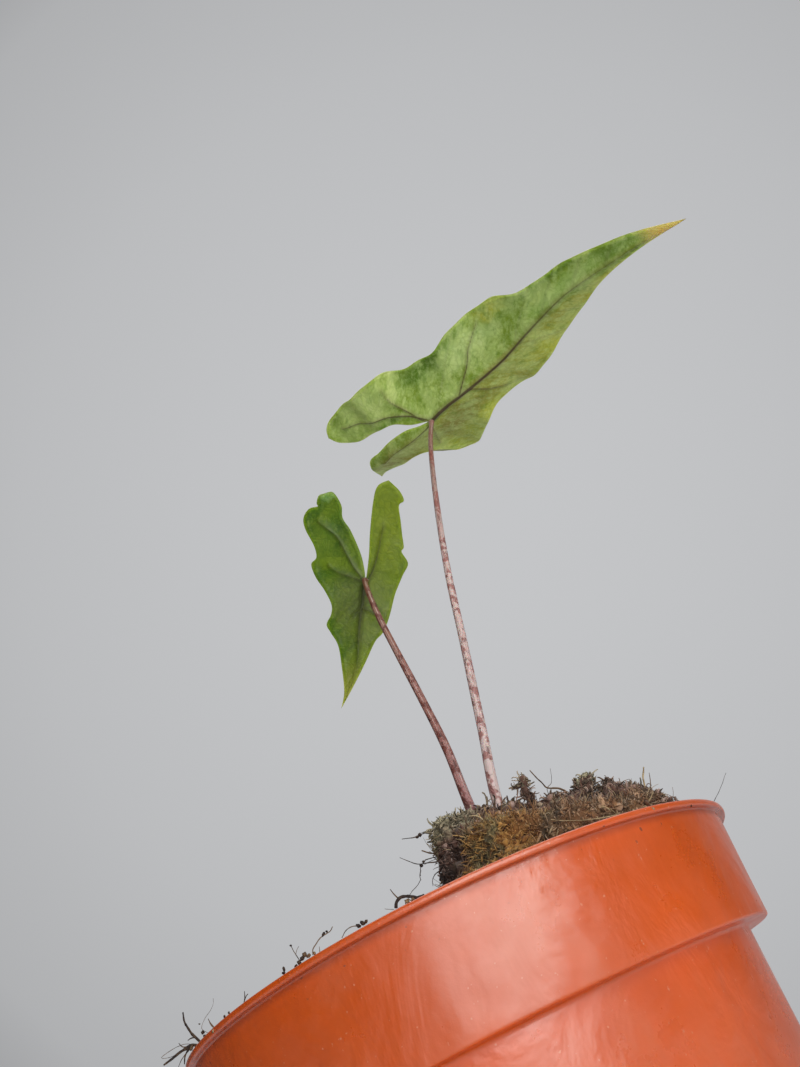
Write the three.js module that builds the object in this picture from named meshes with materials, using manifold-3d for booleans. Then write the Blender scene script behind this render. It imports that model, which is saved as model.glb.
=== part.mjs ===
// Young variegated alocasia in a plastic nursery pot.
// Millimetres, +Z up, origin at the centre of the pot's underside; -Y is the side the plant is seen from.
// The pot stands on its base. It holds potting mix, in which a mossy root plug sits.
// The plug holds the corm with its roots, and two leaf stalks rise from the corm through plain holes.

import * as THREE from 'three';
import { mergeVertices } from 'three/addons/utils/BufferGeometryUtils.js';
import Module from 'manifold-3d';

const wasm = await Module();
wasm.setup();

// Pot: a 12 cm nursery pot
const POT_HEIGHT = 105;
const RIM_RADIUS = 60;
const BASE_RADIUS = 42.5;
const WALL = 1.2;
const FLOOR = 1.4;
const COLLAR_HEIGHT = 19.7;
const COLLAR_TOP_RADIUS = 58.5;
const COLLAR_FOOT_RADIUS = 56.2;
const BODY_TOP_RADIUS = 51.8;
const LIP_HEIGHT = 1.2;
const CHANNEL_RISE = 2.5;
const CHANNEL_INNER_RADIUS = 25;
const CHANNEL_OUTER_RADIUS = 38.5;
const DRAIN_COUNT = 8;
const DRAIN_RADIUS = 3.5;
const POT_SIDES = 56;

// Clearance between pieces that touch
const GAP = 0.3;

// Potting mix
const MIX_LEVEL = POT_HEIGHT - 7;
const MIX_SIDES = 48;
const MIX_CRUMBS = 32;
const MIX_HEAP = 13;

// Root plug: tapered, with its foot deep in the mix and its mossy top above the rim
const PLUG_X = 22.5;
const PLUG_Y = -23;
const PLUG_FOOT = 62;
const PLUG_TOP = POT_HEIGHT + 16.5;
const PLUG_FOOT_RADIUS = 15;
const PLUG_NECK = 86;
const PLUG_NECK_RADIUS = 16;
const PLUG_TOP_RADIUS = 22.5;
const PLUG_SIDES = 36;
const PLUG_CRUMBS = 40;
const CLUMP_GRAINS = 5;
const LUMP = 1.1;

// How far the plug's crown falls from its top: over its left, middle and right, to the back and to the front
const CROWN_FALL = { left: 4, middle: 2.5, right: 7, back: 7, front: 7 };

// Corm and roots
const CORM_X = 13.1;
const CORM_Y = -28;
const CORM_TOP = 100;
const CORM_RADIUS = 5.6;
const CORM_DEPTH = 15;
const CORM_SIDES = 14;
const ROOT_COUNT = 5;
const ROOT_RADIUS = 0.9;

// Leaf stalks: radius where they leave the corm and where they meet the blade
const STALK_FOOT_RADIUS = 1.2;
const STALK_TIP_RADIUS = 0.62;
const STALK_SIDES = 10;
const STALK_STEPS = 22;

// Leaf blades
const BLADE_THICKNESS = 0.9;
const RIB_HEIGHT = 1.0;

const COLOUR = {
  pot: 0xc4541f,
  mix: 0x5a4634,
  plug: 0x6b5a3a,
  corm: 0x8a6a4c,
  stalkLarge: 0xc79a94,
  stalkSmall: 0xa8716b,
  bladeLarge: 0x86a84c,
  bladeSmall: 0x5f8f3c,
};

// Repeatable random numbers from 0 to 1
function seeded(seed) {
  let state = seed;
  return () => {
    state = (state + 0x6d2b79f5) | 0;
    let mixed = Math.imul(state ^ (state >>> 15), 1 | state);
    mixed = (mixed + Math.imul(mixed ^ (mixed >>> 7), 61 | mixed)) ^ mixed;
    return ((mixed ^ (mixed >>> 14)) >>> 0) / 4294967296;
  };
}

const radians = THREE.MathUtils.degToRad;
const smooth = (value, low, high) => THREE.MathUtils.smoothstep(value, low, high);
const point = (x, y, z) => new THREE.Vector3(x, y, z);

// Soft lumps from -1 to 1: three crossed waves of the given wavelength
function lumps(x, y, z, wavelength) {
  const k = (2 * Math.PI) / wavelength;
  const first = Math.sin(k * (x + 0.35 * y) + 1.3) * Math.cos(k * (0.9 * y - 0.3 * x) + 0.4 * k * z);
  const second = Math.sin(k * 1.9 * (0.8 * x - 0.6 * y) + 2.1) * Math.cos(k * 1.7 * (y + 0.5 * z) + 0.7);
  const third = Math.sin(k * 3.3 * (x + z) + 4.2) * Math.sin(k * 2.9 * (y - x) + 1.9);
  return 0.55 * first + 0.3 * second + 0.15 * third;
}

// Closed skin over rings of points, with a single point closing each end
function skin(start, rings, end) {
  const sides = rings[0].length;
  const positions = [];
  for (const vertex of [start, ...rings.flat(), end]) {
    positions.push(vertex.x, vertex.y, vertex.z);
  }
  const faces = [];
  const last = 1 + rings.length * sides;
  for (let side = 0; side < sides; side++) {
    const next = (side + 1) % sides;
    faces.push(0, 1 + next, 1 + side);
    for (let ring = 0; ring + 1 < rings.length; ring++) {
      const low = 1 + ring * sides;
      const high = low + sides;
      faces.push(low + side, low + next, high + next);
      faces.push(low + side, high + next, high + side);
    }
    const rim = 1 + (rings.length - 1) * sides;
    faces.push(rim + side, rim + next, last);
  }
  const geometry = new THREE.BufferGeometry();
  geometry.setAttribute('position', new THREE.Float32BufferAttribute(positions, 3));
  geometry.setIndex(faces);
  return geometry;
}

// Solid of a closed geometry, with its faces turned outwards
function solid(geometry) {
  const bare = geometry.clone();
  bare.deleteAttribute('normal');
  bare.deleteAttribute('uv');
  const merged = mergeVertices(bare, 1e-4);
  const corners = merged.getAttribute('position').array;
  const faces = [];
  for (let face = 0; face < merged.index.count; face += 3) {
    const a = merged.index.getX(face);
    const b = merged.index.getX(face + 1);
    const c = merged.index.getX(face + 2);
    if (a !== b && b !== c && c !== a) {
      faces.push(a, b, c);
    }
  }
  const outward = volume(corners, faces) > 0 ? faces : faces.reverse();
  return new wasm.Manifold(new wasm.Mesh({
    numProp: 3,
    vertProperties: new Float32Array(corners),
    triVerts: new Uint32Array(outward),
  }));
}

// Signed volume of a triangle mesh
function volume(corners, faces) {
  let total = 0;
  for (let face = 0; face < faces.length; face += 3) {
    const a = point(...corners.slice(3 * faces[face], 3 * faces[face] + 3));
    const b = point(...corners.slice(3 * faces[face + 1], 3 * faces[face + 1] + 3));
    const c = point(...corners.slice(3 * faces[face + 2], 3 * faces[face + 2] + 3));
    total += a.dot(b.cross(c)) / 6;
  }
  return total;
}

// Named mesh of a solid
function piece(name, body, colour, roughness) {
  const mesh = body.getMesh();
  const geometry = new THREE.BufferGeometry();
  geometry.setAttribute('position', new THREE.Float32BufferAttribute(mesh.vertProperties, 3));
  geometry.setIndex(Array.from(mesh.triVerts));
  geometry.computeVertexNormals();
  const material = new THREE.MeshStandardMaterial({ color: colour, roughness, metalness: 0 });
  const result = new THREE.Mesh(geometry, material);
  result.name = name;
  return result;
}

// Largest body of a join, without loose scraps
function whole(body) {
  const bodies = body.decompose();
  return bodies.reduce((best, other) => (other.volume() > best.volume() ? other : best));
}

// Round tube along a curve, its radius a function of the way along
function taperedTube(curve, steps, sides, radiusAt) {
  const frames = curve.computeFrenetFrames(steps, false);
  const rings = [];
  for (let step = 0; step <= steps; step++) {
    const along = step / steps;
    const centre = curve.getPointAt(along);
    const ring = [];
    for (let side = 0; side < sides; side++) {
      const angle = (2 * Math.PI * side) / sides;
      const spoke = frames.normals[step].clone().multiplyScalar(Math.cos(angle));
      spoke.addScaledVector(frames.binormals[step], Math.sin(angle));
      ring.push(centre.clone().addScaledVector(spoke, radiusAt(along)));
    }
    rings.push(ring);
  }
  return skin(curve.getPointAt(0), rings, curve.getPointAt(1));
}

// Pot wall radius outside the body, from the base to the step under the collar
const COLLAR_FOOT = POT_HEIGHT - COLLAR_HEIGHT;
const bodyRadius = (z) => THREE.MathUtils.mapLinear(z, 0, COLLAR_FOOT, BASE_RADIUS, BODY_TOP_RADIUS);
const collarRadius = (z) => THREE.MathUtils.mapLinear(
  z, COLLAR_FOOT, POT_HEIGHT - LIP_HEIGHT, COLLAR_FOOT_RADIUS, COLLAR_TOP_RADIUS);

// Pot: base with a raised drain channel, tapered body, wider collar and rolled lip
function pot() {
  const lipFoot = POT_HEIGHT - LIP_HEIGHT;
  const ledge = COLLAR_FOOT + WALL;
  const channelTop = CHANNEL_RISE + FLOOR;
  const outline = [
    [0, 0],
    [CHANNEL_INNER_RADIUS - 1, 0],
    [CHANNEL_INNER_RADIUS, CHANNEL_RISE],
    [CHANNEL_OUTER_RADIUS - 1, CHANNEL_RISE],
    [CHANNEL_OUTER_RADIUS, 0],
    [BASE_RADIUS - 1, 0],
    [bodyRadius(1), 1],
    [bodyRadius(COLLAR_FOOT), COLLAR_FOOT],
    [COLLAR_FOOT_RADIUS - 0.5, COLLAR_FOOT],
    [COLLAR_FOOT_RADIUS, COLLAR_FOOT + 0.5],
    [collarRadius(lipFoot), lipFoot],
    [RIM_RADIUS - 0.4, lipFoot],
    [RIM_RADIUS, lipFoot + 0.4],
    [RIM_RADIUS - 0.1, POT_HEIGHT - 0.3],
    [RIM_RADIUS - 0.6, POT_HEIGHT],
    [collarRadius(lipFoot) - WALL + 0.4, POT_HEIGHT],
    [collarRadius(lipFoot) - WALL, POT_HEIGHT - 0.5],
    [collarRadius(ledge) - WALL, ledge],
    [bodyRadius(ledge) - WALL, ledge],
    [bodyRadius(channelTop) - WALL, channelTop],
    [CHANNEL_INNER_RADIUS - FLOOR, channelTop],
    [CHANNEL_INNER_RADIUS - FLOOR - 1, FLOOR],
    [0, FLOOR],
  ];
  const profile = outline.map(([radius, z]) => new THREE.Vector2(radius, z));
  const shell = new THREE.LatheGeometry(profile, POT_SIDES).rotateX(Math.PI / 2);
  let body = solid(shell);
  const drainCircle = (CHANNEL_INNER_RADIUS + CHANNEL_OUTER_RADIUS) / 2;
  for (let hole = 0; hole < DRAIN_COUNT; hole++) {
    const angle = (2 * Math.PI * (hole + 0.5)) / DRAIN_COUNT;
    const drill = new THREE.CylinderGeometry(DRAIN_RADIUS, DRAIN_RADIUS, 8, 12).rotateX(Math.PI / 2);
    drill.translate(drainCircle * Math.cos(angle), drainCircle * Math.sin(angle), CHANNEL_RISE);
    body = body.subtract(solid(drill));
  }
  return body;
}

// Height of the plug's crown at distances across and back from the plug's middle.
// It is highest at the left, and falls away to the right, to the back and to the furry front.
function crown(across, back) {
  const fallRight = CROWN_FALL.left * smooth(across, -13, 3)
    + CROWN_FALL.middle * smooth(across, 3, 11)
    + CROWN_FALL.right * smooth(across, 13, 24);
  const fallBack = CROWN_FALL.back * smooth(back, -4, 18);
  const fallFront = CROWN_FALL.front * smooth(-back, 3, 21);
  return Math.max(PLUG_TOP - fallRight - fallBack - fallFront, POT_HEIGHT + 3);
}

// Root plug surface, all round from foot to crown. Its side is steep, and lumpy above the mix.
// extra is added to its size to cut the hole that it sits in.
function rootPlug(extra) {
  const levels = [
    [PLUG_FOOT, PLUG_FOOT_RADIUS],
    [PLUG_NECK, PLUG_NECK_RADIUS],
    [POT_HEIGHT - 8, PLUG_TOP_RADIUS - 1.4],
    [POT_HEIGHT, PLUG_TOP_RADIUS],
    [POT_HEIGHT + 5, PLUG_TOP_RADIUS + 0.2],
    [POT_HEIGHT + 10, PLUG_TOP_RADIUS - 0.3],
    [POT_HEIGHT + 14.5, PLUG_TOP_RADIUS - 2],
  ];
  for (const share of [0.8, 0.64, 0.48, 0.32, 0.16]) {
    levels.push([PLUG_TOP, PLUG_TOP_RADIUS * share]);
  }
  const place = (radius, angle, z) => {
    const across = radius * Math.cos(angle);
    const back = radius * Math.sin(angle);
    const x = PLUG_X + across;
    const y = PLUG_Y + back;
    const height = Math.min(z, crown(across, back));
    const rough = smooth(height, POT_HEIGHT - 6, POT_HEIGHT + 4);
    const bump = LUMP * rough * lumps(x, y, height, 9);
    const spread = radius > 0 ? (radius + extra + bump) / radius : 0;
    const lift = smooth(z, POT_HEIGHT + 8, PLUG_TOP) * (bump * 1.5 + extra);
    return point(PLUG_X + spread * across, PLUG_Y + spread * back, height + lift);
  };
  const rings = levels.map(([z, radius]) => {
    const ring = [];
    for (let side = 0; side < PLUG_SIDES; side++) {
      ring.push(place(radius, (2 * Math.PI * side) / PLUG_SIDES, z));
    }
    return ring;
  });
  rings[0] = rings[0].map((corner) => corner.clone().setZ(PLUG_FOOT - extra));
  const foot = point(PLUG_X, PLUG_Y, PLUG_FOOT - extra);
  return skin(foot, rings, place(0, 0, PLUG_TOP));
}

// Height of the mix at a place: lumpy, low by the wall, heaped with moss round the plug
function mixHeight(x, y) {
  const fromAxis = Math.hypot(x, y);
  const fromPlug = Math.hypot(x - PLUG_X, y - PLUG_Y);
  const front = 1 - 0.75 * smooth(y, -36, -8);
  const heap = MIX_HEAP * front * (1 - smooth(fromPlug, 20, 36)) * (1 - smooth(fromAxis, 45, 56));
  const edge = smooth(fromAxis, 52, 56);
  return MIX_LEVEL + heap + 1.3 * (1 - edge) * lumps(x, y, 0, 13);
}

// Potting mix: fills the pot a gap clear of its wall, with a lumpy top
function pottingMix() {
  const channelTop = CHANNEL_RISE + FLOOR + GAP;
  const ledge = COLLAR_FOOT + WALL;
  const inside = (radius) => radius - WALL - GAP;
  const wall = [
    [CHANNEL_INNER_RADIUS - FLOOR - 1 - GAP, FLOOR + GAP],
    [CHANNEL_INNER_RADIUS - FLOOR - GAP, channelTop],
    [inside(bodyRadius(channelTop)), channelTop],
    [inside(bodyRadius(ledge)), ledge],
    [inside(bodyRadius(ledge)), ledge + GAP],
    [inside(collarRadius(ledge)), ledge + GAP],
  ];
  const circle = (place) => Array.from({ length: MIX_SIDES }, (_, side) => {
    return place((2 * Math.PI * side) / MIX_SIDES);
  });
  const rings = wall.map(([radius, z]) => {
    return circle((angle) => point(radius * Math.cos(angle), radius * Math.sin(angle), z));
  });
  const topRadius = inside(collarRadius(MIX_LEVEL)) - 0.2;
  for (const share of [1, 0.95, 0.89, 0.82, 0.73, 0.63, 0.52, 0.4, 0.27, 0.14]) {
    rings.push(circle((angle) => {
      const x = topRadius * share * Math.cos(angle);
      const y = topRadius * share * Math.sin(angle);
      return point(x, y, mixHeight(x, y));
    }));
  }
  return skin(point(0, 0, FLOOR + GAP), rings, point(0, 0, mixHeight(0, 0)));
}

// One crumb of bark or moss: an uneven eight-sided grain
function crumb(random, size) {
  const grain = new THREE.OctahedronGeometry(size, 0);
  grain.scale(0.7 + 0.7 * random(), 0.7 + 0.7 * random(), 0.6 + 0.5 * random());
  grain.rotateX(Math.PI * random());
  grain.rotateY(Math.PI * random());
  grain.rotateZ(Math.PI * random());
  return grain;
}

// One dry fibre: a thin tapering stalk from its root over a bend to its tip
function fibre(root, bend, tip, radius) {
  const curve = new THREE.QuadraticBezierCurve3(root, bend, tip);
  return solid(taperedTube(curve, 7, 4, (along) => radius * (1 - 0.45 * along)));
}

// Crumbs scattered on the mix, clear of the plug and of the wall
function mixCrumbs() {
  const random = seeded(11);
  const grains = [];
  while (grains.length < MIX_CRUMBS) {
    const radius = 50 * Math.sqrt(random());
    const angle = 2 * Math.PI * random();
    const x = radius * Math.cos(angle);
    const y = radius * Math.sin(angle);
    if (Math.hypot(x - PLUG_X, y - PLUG_Y) > PLUG_TOP_RADIUS + 5) {
      const size = 1.3 + 1.5 * random();
      grains.push(solid(crumb(random, size).translate(x, y, mixHeight(x, y) + 0.2 * size)));
    }
  }
  return grains;
}

// Fibres that grow out of the mix and hang over the lip at the left, as angles round the pot
function lipFibres() {
  const random = seeded(5);
  const fibres = [];
  for (const degrees of [196, 203, 209, 214, 232, 238, 247]) {
    const angle = radians(degrees);
    const at = (radius, turn, z) => {
      return point(radius * Math.cos(angle + turn), radius * Math.sin(angle + turn), z);
    };
    const root = at(51, 0, MIX_LEVEL - 1);
    const bend = at(55, 0.02, POT_HEIGHT + 6 + 3 * random());
    const tip = at(60 + 4 * random(), 0.12 * (random() - 0.5), POT_HEIGHT + 1.6 + 3 * random());
    fibres.push(fibre(root, bend, tip, 0.45));
  }
  return fibres;
}

// Crown of the plug: crumbs, taller clumps at named places, straws and root wisps on its left side
function plugDressing() {
  const random = seeded(23);
  const parts = [];
  while (parts.length < PLUG_CRUMBS) {
    const radius = 18 * Math.sqrt(random());
    const angle = 2 * Math.PI * random();
    const across = radius * Math.cos(angle);
    const back = radius * Math.sin(angle);
    const x = PLUG_X + across;
    const y = PLUG_Y + back;
    const clearOfStalks = Math.hypot(x - CORM_X, y - CORM_Y) > 7.5;
    if (clearOfStalks) {
      const size = 1.1 + 1.6 * random();
      const ground = crown(across, back);
      parts.push(solid(crumb(random, size).translate(x, y, ground + 0.25 * size)));
    }
  }
  const clumps = [
    { x: 21.5, y: -27, reach: 2.2, height: 6 },
    { x: 24.5, y: -25, reach: 2.6, height: 3 },
    { x: 33, y: -23, reach: 3.6, height: 5.5 },
    { x: 37, y: -25, reach: 3, height: 3.5 },
    { x: 42, y: -26, reach: 2.5, height: 3 },
    { x: 4, y: -26, reach: 3, height: 1 },
    { x: 29, y: -15, reach: 3, height: 2.5 },
  ];
  for (const { x, y, reach, height } of clumps) {
    const ground = crown(x - PLUG_X, y - PLUG_Y) - 1;
    for (let grain = 0; grain < CLUMP_GRAINS; grain++) {
      const up = grain / (CLUMP_GRAINS - 1);
      const side = reach * (1 - 0.7 * up);
      const angle = 2.4 * grain;
      const stone = crumb(random, 1.5 - 0.5 * up);
      stone.translate(x + 0.5 * side * Math.cos(angle), y + 0.5 * side * Math.sin(angle), ground + up * height + 1);
      parts.push(solid(stone));
    }
  }
  const straws = [
    [point(28, -26, PLUG_TOP - 7), point(27, -27, PLUG_TOP), point(23.5, -28, PLUG_TOP + 3)],
    [point(41, -23, PLUG_TOP - 12), point(42, -23, PLUG_TOP - 7), point(41.6, -23.5, PLUG_TOP - 3)],
    [point(3, -24, PLUG_TOP - 3), point(-1, -25, PLUG_TOP - 1), point(-5, -27, PLUG_TOP - 3.5)],
    [point(3, -22, PLUG_TOP - 8), point(-3, -22, PLUG_TOP - 6), point(-7, -24, PLUG_TOP - 6)],
    [point(3, -30, PLUG_TOP - 10), point(-2, -32, PLUG_TOP - 7), point(-4, -34, PLUG_TOP - 11)],
  ];
  for (const [root, bend, tip] of straws) {
    parts.push(fibre(root, bend, tip, 0.45));
  }
  return parts;
}

// Stalk routes, from the corm's crown to just below the blade
const largeRoute = new THREE.CatmullRomCurve3([
  point(15.2, -28, CORM_TOP + GAP),
  point(15.5, -28, 120.4),
  point(19.6, -27.5, 137),
  point(24.6, -26.9, 156.4),
  point(30.3, -26.4, 179.1),
  point(38.3, -25.9, 205),
  point(43.9, -25.4, 220.3),
  point(46.3, -25.1, 225.3),
]);
const smallRoute = new THREE.CatmullRomCurve3([
  point(11, -28, CORM_TOP + GAP),
  point(10.3, -28, 121.8),
  point(11, -28.2, 136.2),
  point(10.6, -28.8, 149.6),
  point(10, -29.7, 160.9),
  point(9.6, -30.4, 170),
  point(9.7, -30.5, 177),
  point(9.9, -30.1, 180),
  point(10.3, -28.35, 183.2),
]);

// Stalk, or the plain hole that it stands in when extra is its clearance
function stalk(route, extra) {
  const radiusAt = (along) => extra + THREE.MathUtils.lerp(STALK_FOOT_RADIUS, STALK_TIP_RADIUS, along ** 0.9);
  return taperedTube(route, STALK_STEPS, STALK_SIDES, radiusAt);
}

// Corm with a flat growing crown, and its roots. extra is the clearance of the cavity it sits in.
function cormAndRoots(extra) {
  const rings = [];
  const levels = 5;
  for (let level = 0; level <= levels; level++) {
    const down = level / levels;
    const radius = extra + CORM_RADIUS * Math.sqrt(Math.max(0.12, 1 - (1.7 * down - 0.62) ** 2));
    const z = THREE.MathUtils.lerp(CORM_TOP + extra, CORM_TOP - CORM_DEPTH - extra, down);
    const ring = [];
    for (let side = 0; side < CORM_SIDES; side++) {
      const angle = (2 * Math.PI * side) / CORM_SIDES;
      ring.push(point(CORM_X + radius * Math.cos(angle), CORM_Y + radius * Math.sin(angle), z));
    }
    rings.push(ring);
  }
  const crown = point(CORM_X, CORM_Y, CORM_TOP + extra);
  const foot = point(CORM_X, CORM_Y, CORM_TOP - CORM_DEPTH - extra);
  let body = solid(skin(crown, rings, foot));
  for (let root = 0; root < ROOT_COUNT; root++) {
    const angle = (2 * Math.PI * root) / ROOT_COUNT + 0.3;
    const reach = 7 + (root % 2);
    const towardsPlug = 0.35;
    const middle = point(
      CORM_X + reach * Math.cos(angle) + towardsPlug * (PLUG_X - CORM_X),
      CORM_Y + 0.8 * reach * Math.sin(angle) + towardsPlug * (PLUG_Y - CORM_Y),
      CORM_TOP - CORM_DEPTH);
    const end = point(
      PLUG_X + (reach + 1) * Math.cos(angle),
      PLUG_Y + (reach + 1) * Math.sin(angle),
      PLUG_FOOT + 5 + 2 * (root % 3));
    const route = new THREE.QuadraticBezierCurve3(point(CORM_X, CORM_Y, CORM_TOP - 8), middle, end);
    const tube = taperedTube(route, 8, 5, (along) => extra + ROOT_RADIUS * (1.3 - 0.7 * along));
    body = body.add(solid(tube));
  }
  return body;
}

// Leaf blades. s runs along the midrib from the stalk, negative back into the two lobes; w runs across it.
// Each half is outlined by its margin, from the lobe's end to the leaf's tip, and by the edge of the sinus,
// from the lobe's end to the stalk.
const largeLeaf = {
  stalk: point(47.4, -25, 227.7),
  heading: -45.9,
  dip: 18.7,
  roll: -22,
  length: 84,
  arch: 7,
  lobeCurl: 0.0105,
  fold: 16,
  rightLift: 10,
  wave: { height: 1.5, length: 24, leftPhase: 0.6, rightPhase: 2.4, reach: 14 },
  left: {
    margin: [[-30, -16.5], [-27, -19.5], [-18, -20.8], [-9, -21.5], [-2, -20], [3, -15.6], [8, -14.1],
      [14, -13.2], [20, -13.8], [28, -12.7], [36, -12.3], [42, -9], [49, -7.8], [57, -7.4], [66, -5.6],
      [75, -3.2], [84, 0]],
    sinus: [[-30, -16.5], [-28, -12.4], [-23, -9.5], [-14, -8.6], [-9, -7.2], [-5, -3.2], [0, 0]],
  },
  right: {
    margin: [[-33, 8], [-27, 5.9], [-21, 7], [-15, 7], [-11, 10], [-9, 14], [-8, 19], [-4, 22.5], [2, 19],
      [7, 15.9], [12, 13.6], [17, 13.5], [24, 15.2], [33, 13], [42, 10], [50, 6.8], [59, 3], [70, 0.9],
      [84, 0]],
    sinus: [[-33, 8], [-30, 3], [-26, -2.4], [-20, -3.3], [-14, -4], [-8, -3.3], [-3.5, -1.2], [0, 0]],
  },
  rows: { lobe: 12, blade: 30 },
  marginSplit: 0.4,
};
const smallLeaf = {
  stalk: point(10.6, -26, 184.2),
  heading: 139.8,
  dip: 51.9,
  roll: 50,
  length: 31,
  arch: 1.5,
  lobeCurl: -0.0067,
  fold: 12,
  rightLift: 0,
  wave: { height: 0.7, length: 15, leftPhase: 1, rightPhase: 3, reach: 12 },
  left: {
    margin: [[-24, -4.5], [-22, -7.2], [-19.8, -8.5], [-18.6, -7.3], [-15, -7.9], [-12, -8.4], [-9, -9],
      [-7.9, -8.5], [-5.2, -10.3], [-2, -9], [2.4, -7.5], [8, -6.5], [12, -5.2], [14.5, -3.4], [20, -1.4],
      [26, 1], [31, 3.2]],
    sinus: [[-24, -4.5], [-22.5, -1.9], [-19, -0.9], [-12, -0.4], [-6, -0.4], [0, 0]],
  },
  right: {
    margin: [[-20.8, 11.8], [-20.2, 13.6], [-18.4, 14.1], [-17.6, 13.7], [-17.2, 16], [-15, 17.5], [-12, 16.7],
      [-8, 14.2], [-5.4, 13.6], [-3.8, 15], [-0.5, 13.4], [2.8, 10.6], [6, 8.6], [8.5, 8.5], [11, 9.5],
      [13, 8.2], [16, 5.9], [21, 4.4], [27, 3], [31, 3.2]],
    sinus: [[-20.8, 11.8], [-20.9, 9.6], [-18, 7.4], [-15, 6.9], [-12, 4.6], [-7, 1.9], [-3.5, 0.7], [0, 0]],
  },
  rows: { lobe: 11, blade: 20 },
  marginSplit: 0.52,
};

// Directions of a leaf: along its midrib, across it and up from its upper side
function leafAxes(leaf) {
  const heading = radians(leaf.heading);
  const dip = radians(leaf.dip);
  const roll = radians(leaf.roll);
  const along = point(Math.cos(heading) * Math.cos(dip), Math.sin(heading) * Math.cos(dip), -Math.sin(dip));
  const level = point(-Math.sin(heading), Math.cos(heading), 0);
  const upright = along.clone().cross(level);
  const across = level.multiplyScalar(Math.cos(roll)).addScaledVector(upright, Math.sin(roll));
  const up = along.clone().cross(across);
  return { along, across, up };
}

// Upper side of the blade at (s, w): halves folded up from the midrib, an arch along it, wavy margins
function leafPoint(leaf, axes, s, w) {
  const slope = (4 * leaf.arch) / leaf.length;
  const arch = s >= 0 ? slope * s * (1 - s / leaf.length) : slope * s + leaf.lobeCurl * s * s;
  const lift = w > 0 ? leaf.rightLift * (1 - smooth(s, -12, 6)) : 0;
  const fold = radians(leaf.fold + lift);
  const phase = w < 0 ? leaf.wave.leftPhase : leaf.wave.rightPhase;
  const growth = Math.min(1, Math.abs(w) / leaf.wave.reach) ** 2;
  const calm = THREE.MathUtils.clamp((leaf.length - s) / 20, 0, 1);
  const wave = leaf.wave.height * growth * calm * Math.sin((2 * Math.PI * s) / leaf.wave.length + phase);
  const rise = Math.abs(w) * Math.sin(fold) + arch + wave;
  return leaf.stalk.clone()
    .addScaledVector(axes.along, s)
    .addScaledVector(axes.across, w * Math.cos(fold))
    .addScaledVector(axes.up, rise);
}

// Blade solid. Each half is a grid between its margin and its sinus edge and midrib, alike on both sides
// of the blade, and the midrib stands out below.
const COLUMNS = [0, 0.07, 0.16, 0.34, 0.56, 0.79, 1];
function blade(leaf) {
  const axes = leafAxes(leaf);
  const curveThrough = (places) => new THREE.SplineCurve(places.map(([s, w]) => new THREE.Vector2(s, w)));
  const rowCount = leaf.rows.lobe + leaf.rows.blade;
  const positions = [];
  const faces = [];
  const underOffset = (leafRow, column, s) => {
    const taper = THREE.MathUtils.clamp(1 - s / leaf.length, 0.05, 1);
    const rib = leafRow >= leaf.rows.lobe ? RIB_HEIGHT * taper * [1, 0.45, 0][Math.min(column, 2)] : 0;
    return BLADE_THICKNESS + rib;
  };
  const addHalf = (half) => {
    const margin = curveThrough(half.margin);
    const sinus = curveThrough(half.sinus);
    const first = positions.length / 3;
    const width = COLUMNS.length;
    for (let row = 0; row <= rowCount; row++) {
      const inLobe = row <= leaf.rows.lobe;
      const back = Math.min(row / leaf.rows.lobe, 1);
      const ahead = Math.max(row - leaf.rows.lobe, 0) / leaf.rows.blade;
      const inner = inLobe ? sinus.getPointAt(back) : new THREE.Vector2(0, 0);
      const tip = margin.getPointAt(1);
      if (!inLobe) {
        inner.set(tip.x * ahead, tip.y * ahead ** 4);
      }
      const share = inLobe ? leaf.marginSplit * back : THREE.MathUtils.lerp(leaf.marginSplit, 1, ahead);
      const outer = margin.getPointAt(share);
      for (let column = 0; column < width; column++) {
        const place = inner.clone().lerp(outer, COLUMNS[column]);
        const top = leafPoint(leaf, axes, place.x, place.y);
        const under = top.clone().addScaledVector(axes.up, -underOffset(row, column, place.x));
        positions.push(top.x, top.y, top.z, under.x, under.y, under.z);
      }
    }
    const top = (row, column) => first + 2 * (row * width + column);
    for (let row = 0; row < rowCount; row++) {
      for (let column = 0; column + 1 < width; column++) {
        const [a, b] = [top(row, column), top(row, column + 1)];
        const [c, d] = [top(row + 1, column + 1), top(row + 1, column)];
        const turned = half === leaf.left ? [a, c, b, a, d, c] : [a, b, c, a, c, d];
        faces.push(...turned);
        const [p, q, r, t, u, v] = turned.map((corner) => corner + 1);
        faces.push(p, r, q, t, v, u);
      }
      const closeEdge = (from, to) => {
        faces.push(from, from + 1, to + 1, from, to + 1, to);
      };
      const marginEdge = [top(row, width - 1), top(row + 1, width - 1)];
      closeEdge(...(half === leaf.left ? marginEdge.reverse() : marginEdge));
      if (row < leaf.rows.lobe) {
        const sinusEdge = [top(row + 1, 0), top(row, 0)];
        closeEdge(...(half === leaf.left ? sinusEdge.reverse() : sinusEdge));
      }
    }
  };
  addHalf(leaf.left);
  addHalf(leaf.right);
  const geometry = new THREE.BufferGeometry();
  geometry.setAttribute('position', new THREE.Float32BufferAttribute(positions, 3));
  geometry.setIndex(faces);
  return geometry;
}

// Assembly
const holes = [solid(stalk(largeRoute, GAP)), solid(stalk(smallRoute, GAP))];
const cavity = cormAndRoots(GAP);
const plugBody = wasm.Manifold.union([solid(rootPlug(0)), ...plugDressing()]);
const plugOpened = holes.reduce((body, hole) => body.subtract(hole), plugBody.subtract(cavity));
const mixBody = wasm.Manifold.union([solid(pottingMix()), ...mixCrumbs(), ...lipFibres()]);
const mixOpened = mixBody.subtract(solid(rootPlug(GAP + 0.1)));

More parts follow.
